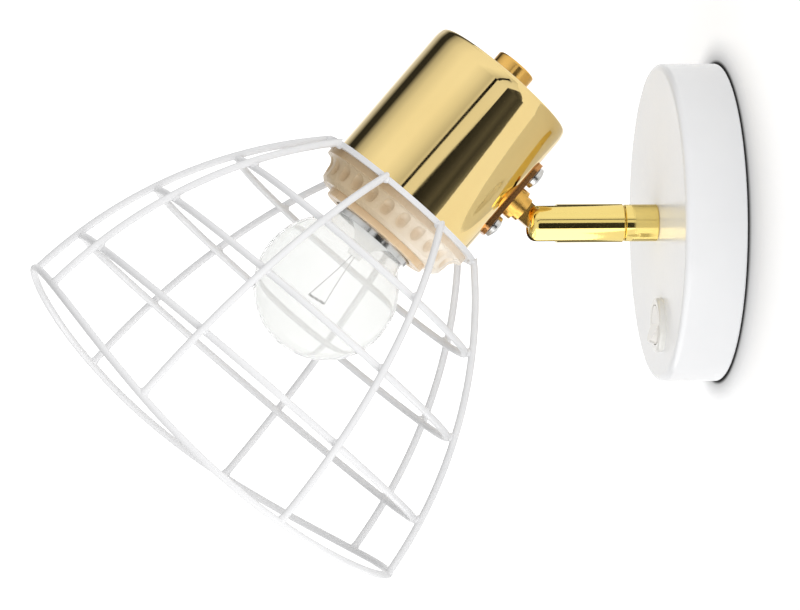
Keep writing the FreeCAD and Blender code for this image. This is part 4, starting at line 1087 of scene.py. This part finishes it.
@dataclass
class Studio:
    """The white board that the lamp is screwed to, the soft light round it and the camera.

    Attributes:
        board_reach: Half the board's width.
        board_rise: Half its height.
        board_grey: Its grey.
        base_radius: The radius of the base that stands on it.
        shadow_wide: How far the base's shadow reaches to the right of the base's middle.
        shadow_high: How far it reaches to the other sides.
        shadow_stops: The board's brightness from the base's edge, at 0, to the shadow's edge, at 1.
        camera_lift: The light that the board gives off to the camera.
        glass_lift: The light that it gives off to rays through glass.
        mirror_lift: The light that it gives off to mirrors.
        height_stops: The dome's brightness in mirrors by height.
        side_stops: The share of it that is left, by side.
        soft_way: The way in which the soft light grows.
        soft_stops: The dome's brightness for matt surfaces along that way.
        camera_light: The dome's brightness for the camera.
        glass_light: The dome's brightness for rays through glass.
        lens: The camera's focal length in millimetres.
        sensor: The width of its sensor in millimetres.
        clip_end: How far it sees.
        eye: Where it stands.
        look_turn: How far it looks to the right of the way into the picture.
        look_drop: How far it looks down.
        look_roll: How far it leans.
    """

    board_reach: float = 0.125
    board_rise: float = 0.6
    board_grey: float = 0.93
    base_radius: float = 0.05
    shadow_wide: float = 0.12
    shadow_high: float = 0.059
    shadow_stops: Stops = ((-1.0, 0.02), (0.0, 0.02), (0.06, 0.06), (0.11, 0.3), (0.17, 0.53), (0.3, 0.64),
                           (0.45, 0.74), (0.6, 0.83), (0.8, 0.93), (1.0, 1.0))
    camera_lift: float = 0.36
    glass_lift: float = 0.6
    mirror_lift: float = 0.34
    height_stops: Stops = ((-1.0, 1.0), (0.1, 0.9), (0.27, 0.85), (0.33, 0.62), (0.45, 0.86), (0.6, 1.05),
                           (1.0, 1.0))
    side_stops: Stops = ((-1.0, 1.3), (-0.9, 1.0), (-0.81, 0.4), (-0.73, 0.03), (-0.54, 0.03), (-0.36, 0.5),
                         (-0.1, 0.8), (0.3, 1.0), (1.0, 1.0))
    soft_way: Triple = (0.0, 0.95, -0.2)
    soft_stops: Stops = ((-1.0, 0.48), (-0.6, 0.7), (-0.3, 1.12), (-0.1, 1.43), (0.2, 1.52), (1.0, 1.52))
    camera_light: float = 1.35
    glass_light: float = 1.22
    lens: float = 194.743
    sensor: float = 36.0
    clip_end: float = 30.0
    eye: Vector = field(default_factory=lambda: Vector((1.3426585, -0.2707665, 0.0018717)))
    look_turn: float = math.radians(7.223)
    look_drop: float = math.radians(1.146)
    look_roll: float = math.radians(-0.362)

    def stage_material(self, name: str) -> tuple[Material, Node]:
        """Starts the material of a stage piece: matt, and able to give off white light.

        Args:
            name: The material's name.

        Returns:
            The material and its shader's node.
        """
        material = bpy.data.materials.new(name)
        material.use_nodes = True
        material.cycles.emission_sampling = "NONE"
        shader = material.node_tree.nodes["Principled BSDF"]
        shader.inputs["Roughness"].default_value = 1.0
        shader.inputs["Specular IOR Level"].default_value = 0.0
        shader.inputs["Emission Color"].default_value = (1, 1, 1, 1)
        return material, shader

    def board_material(self) -> Material:
        """Makes the board's pale matt surface, with a painted shadow round the base for the camera, and clear
        from behind.

        Returns:
            The material.
        """
        material, shader = self.stage_material("white board")
        tree = material.node_tree
        path = tree.nodes.new("ShaderNodeLightPath").outputs
        # The base's shadow is painted on the board, for camera rays only.
        painted_shadow = either(tree, path["Is Camera Ray"], 1.0, self.painted_shadow(tree))
        colour = (self.board_grey, self.board_grey, self.board_grey, 1)
        shade = mix_colours(tree, painted_shadow, (0, 0, 0, 1), colour)
        link(tree, shade.outputs["Result"], shader.inputs["Base Color"])
        mirrored = either(tree, path["Is Glossy Ray"], 0.0, self.mirror_lift)
        through = either(tree, path["Is Transmission Ray"], mirrored, self.glass_lift)
        lift = either(tree, path["Is Camera Ray"], through, self.camera_lift)
        link(tree, math_node(tree, "MULTIPLY", lift, painted_shadow), shader.inputs["Emission Strength"])
        face = tree.nodes.new("ShaderNodeNewGeometry")
        clear = tree.nodes.new("ShaderNodeBsdfTransparent")
        side = tree.nodes.new("ShaderNodeMixShader")
        link(tree, face.outputs["Backfacing"], side.inputs["Fac"])
        link(tree, shader.outputs["BSDF"], side.inputs[1])
        link(tree, clear.outputs["BSDF"], side.inputs[2])
        link(tree, side.outputs["Shader"], tree.nodes["Material Output"].inputs["Surface"])
        return material

    def painted_shadow(self, tree: Tree) -> Socket:
        """Gives the base's painted shadow, a value that falls from 1 far from the base to almost 0 at the
        base's edge.

        The painted shadow is a disc like the base, drawn out to the right. It fades from the base's radius to
        an oval of the shadow's width and height.

        Args:
            tree: The tree that gets the nodes.

        Returns:
            The socket with the value.
        """
        place = coordinates(tree)
        axes = split_axes(tree, place)
        right = math_node(tree, "MULTIPLY", axes["X"], 1 / self.shadow_wide)
        left = math_node(tree, "MULTIPLY", axes["X"], -1 / self.shadow_high)
        rise = math_node(tree, "MULTIPLY", axes["Z"], 1 / self.shadow_high)
        oval = tree.nodes.new("ShaderNodeCombineXYZ")
        link(tree, math_node(tree, "MAXIMUM", right, left), oval.inputs["X"])
        link(tree, rise, oval.inputs["Y"])
        outside = math_node(tree, "SUBTRACT", 1.0, vector_node(tree, "LENGTH", oval.outputs["Vector"]))
        reach = math_node(tree, "MULTIPLY", vector_node(tree, "LENGTH", place), 1 / self.base_radius)
        inside = math_node(tree, "MAXIMUM", math_node(tree, "SUBTRACT", reach, 1.0), 0.0)
        whole = math_node(tree, "ADD", inside, math_node(tree, "MAXIMUM", outside, 0.0))
        return ramp(tree, math_node(tree, "DIVIDE", inside, whole), self.shadow_stops)

    def sheet(self, name: str, corners: tuple[Triple, ...], material: Material,
              rounding: float = 0.0) -> Thing:
        """Puts up a flat sheet of the studio.

        Args:
            name: The sheet's name.
            corners: Its four corners in order.
            material: Its material.
            rounding: How much is cut off each corner, in a round.

        Returns:
            The sheet.
        """
        mesh = bmesh.new()
        mesh.faces.new([mesh.verts.new(corner) for corner in corners])
        if rounding:
            bmesh.ops.bevel(mesh, geom=mesh.verts[:], offset=rounding, offset_type="OFFSET", segments=8,
                            profile=0.5, affect="VERTICES")
        sheet = add_object(name, mesh)
        sheet.data.materials.append(material)
        return sheet

    def board(self) -> None:
        """Puts up the white board."""
        reach, rise = self.board_reach, self.board_rise
        corners = ((-reach, 0, -rise), (reach, 0, -rise), (reach, 0, rise), (-reach, 0, rise))
        self.sheet("board", corners, self.board_material())

    def cards(self) -> None:
        """Hangs the cards that give the brass its dark bands and its bright underside."""
        for card in CARDS:
            material, shader = self.stage_material(card.name)
            shader.inputs["Base Color"].default_value = (0, 0, 0, 1)
            tree = material.node_tree
            light = ramp(tree, split_axes(tree, coordinates(tree))["Y"], card.stops)
            link(tree, light, shader.inputs["Emission Strength"])
            sheet = self.sheet(card.name, card.corners, material, card.rounding)
            sheet.visible_camera = False
            sheet.visible_diffuse = False
            sheet.visible_transmission = False
            sheet.visible_shadow = False

    def sky(self) -> None:
        """Lights the room with one large soft dome, in which mirrors see the bands of a furnished room."""
        world = bpy.data.worlds.new("soft dome")
        bpy.context.scene.world = world
        world.use_nodes = True
        tree = world.node_tree
        back = tree.nodes["Background"]
        way = coordinates(tree, "Generated")
        axes = split_axes(tree, way)
        bands = math_node(tree, "MULTIPLY", ramp(tree, axes["Z"], self.height_stops),
                          ramp(tree, axes["X"], self.side_stops))
        soft = ramp(tree, vector_node(tree, "DOT_PRODUCT", way, self.soft_way), self.soft_stops)
        path = tree.nodes.new("ShaderNodeLightPath").outputs
        matt = either(tree, path["Is Camera Ray"], soft, self.camera_light)
        mirrored = either(tree, path["Is Glossy Ray"], matt, bands)
        total = either(tree, path["Is Transmission Ray"], mirrored, self.glass_light)
        link(tree, total, back.inputs["Strength"])
        back.inputs["Color"].default_value = (1, 1, 1, 1)

    def camera(self) -> None:
        """Sets up the camera where the photographer stood."""
        data = bpy.data.cameras.new("camera")
        data.lens = self.lens
        data.sensor_width = self.sensor
        data.clip_end = self.clip_end
        flat = math.cos(self.look_drop)
        ahead = Vector((-math.cos(self.look_turn) * flat, math.sin(self.look_turn) * flat,
                        -math.sin(self.look_drop)))
        right = Vector((math.sin(self.look_turn), math.cos(self.look_turn), 0))
        up = right.cross(ahead)
        turn = Matrix((right, up, -ahead)).transposed() @ Matrix.Rotation(self.look_roll, 3, "Z")
        eye = bpy.data.objects.new("camera", data)
        eye.matrix_world = Matrix.Translation(self.eye) @ turn.to_4x4()
        bpy.context.scene.collection.objects.link(eye)
        bpy.context.scene.camera = eye

    def build(self) -> None:
        """Sets up the whole studio."""
        self.board()
        self.cards()
        self.sky()
        self.camera()
        bpy.context.scene.view_settings.view_transform = "Standard"


def main() -> None:
    """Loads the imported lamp, dresses it, adds the fine pieces and sets up the studio."""
    logging.basicConfig(level=logging.INFO, format="%(name)s: %(message)s")
    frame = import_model()
    nodes = frame["nodes"]
    hang = Hang()
    mottle_group()
    peel_group()
    lines_group(Effect.DRAWN, 2.0, (1, 1, 0.03), -hang.tilt)
    lines_group(Effect.RINGS, 1.0, (0.02, 1, 0.02))
    pocket_shade_group(hang)
    assemblies = (WallBase(nodes), SwivelArm(nodes), CupHead(nodes), Lampholder(nodes),
                  GlobeBulb(nodes, hang), WireCage(nodes, hang))
    for assembly in assemblies:
        made = assembly.build()
        log.info("%s dressed", type(assembly).__name__)
        for piece in made:
            log.info("  %s: %d faces", piece.name, len(piece.data.polygons))
    Studio().build()


if __name__ == "__main__":
    main()
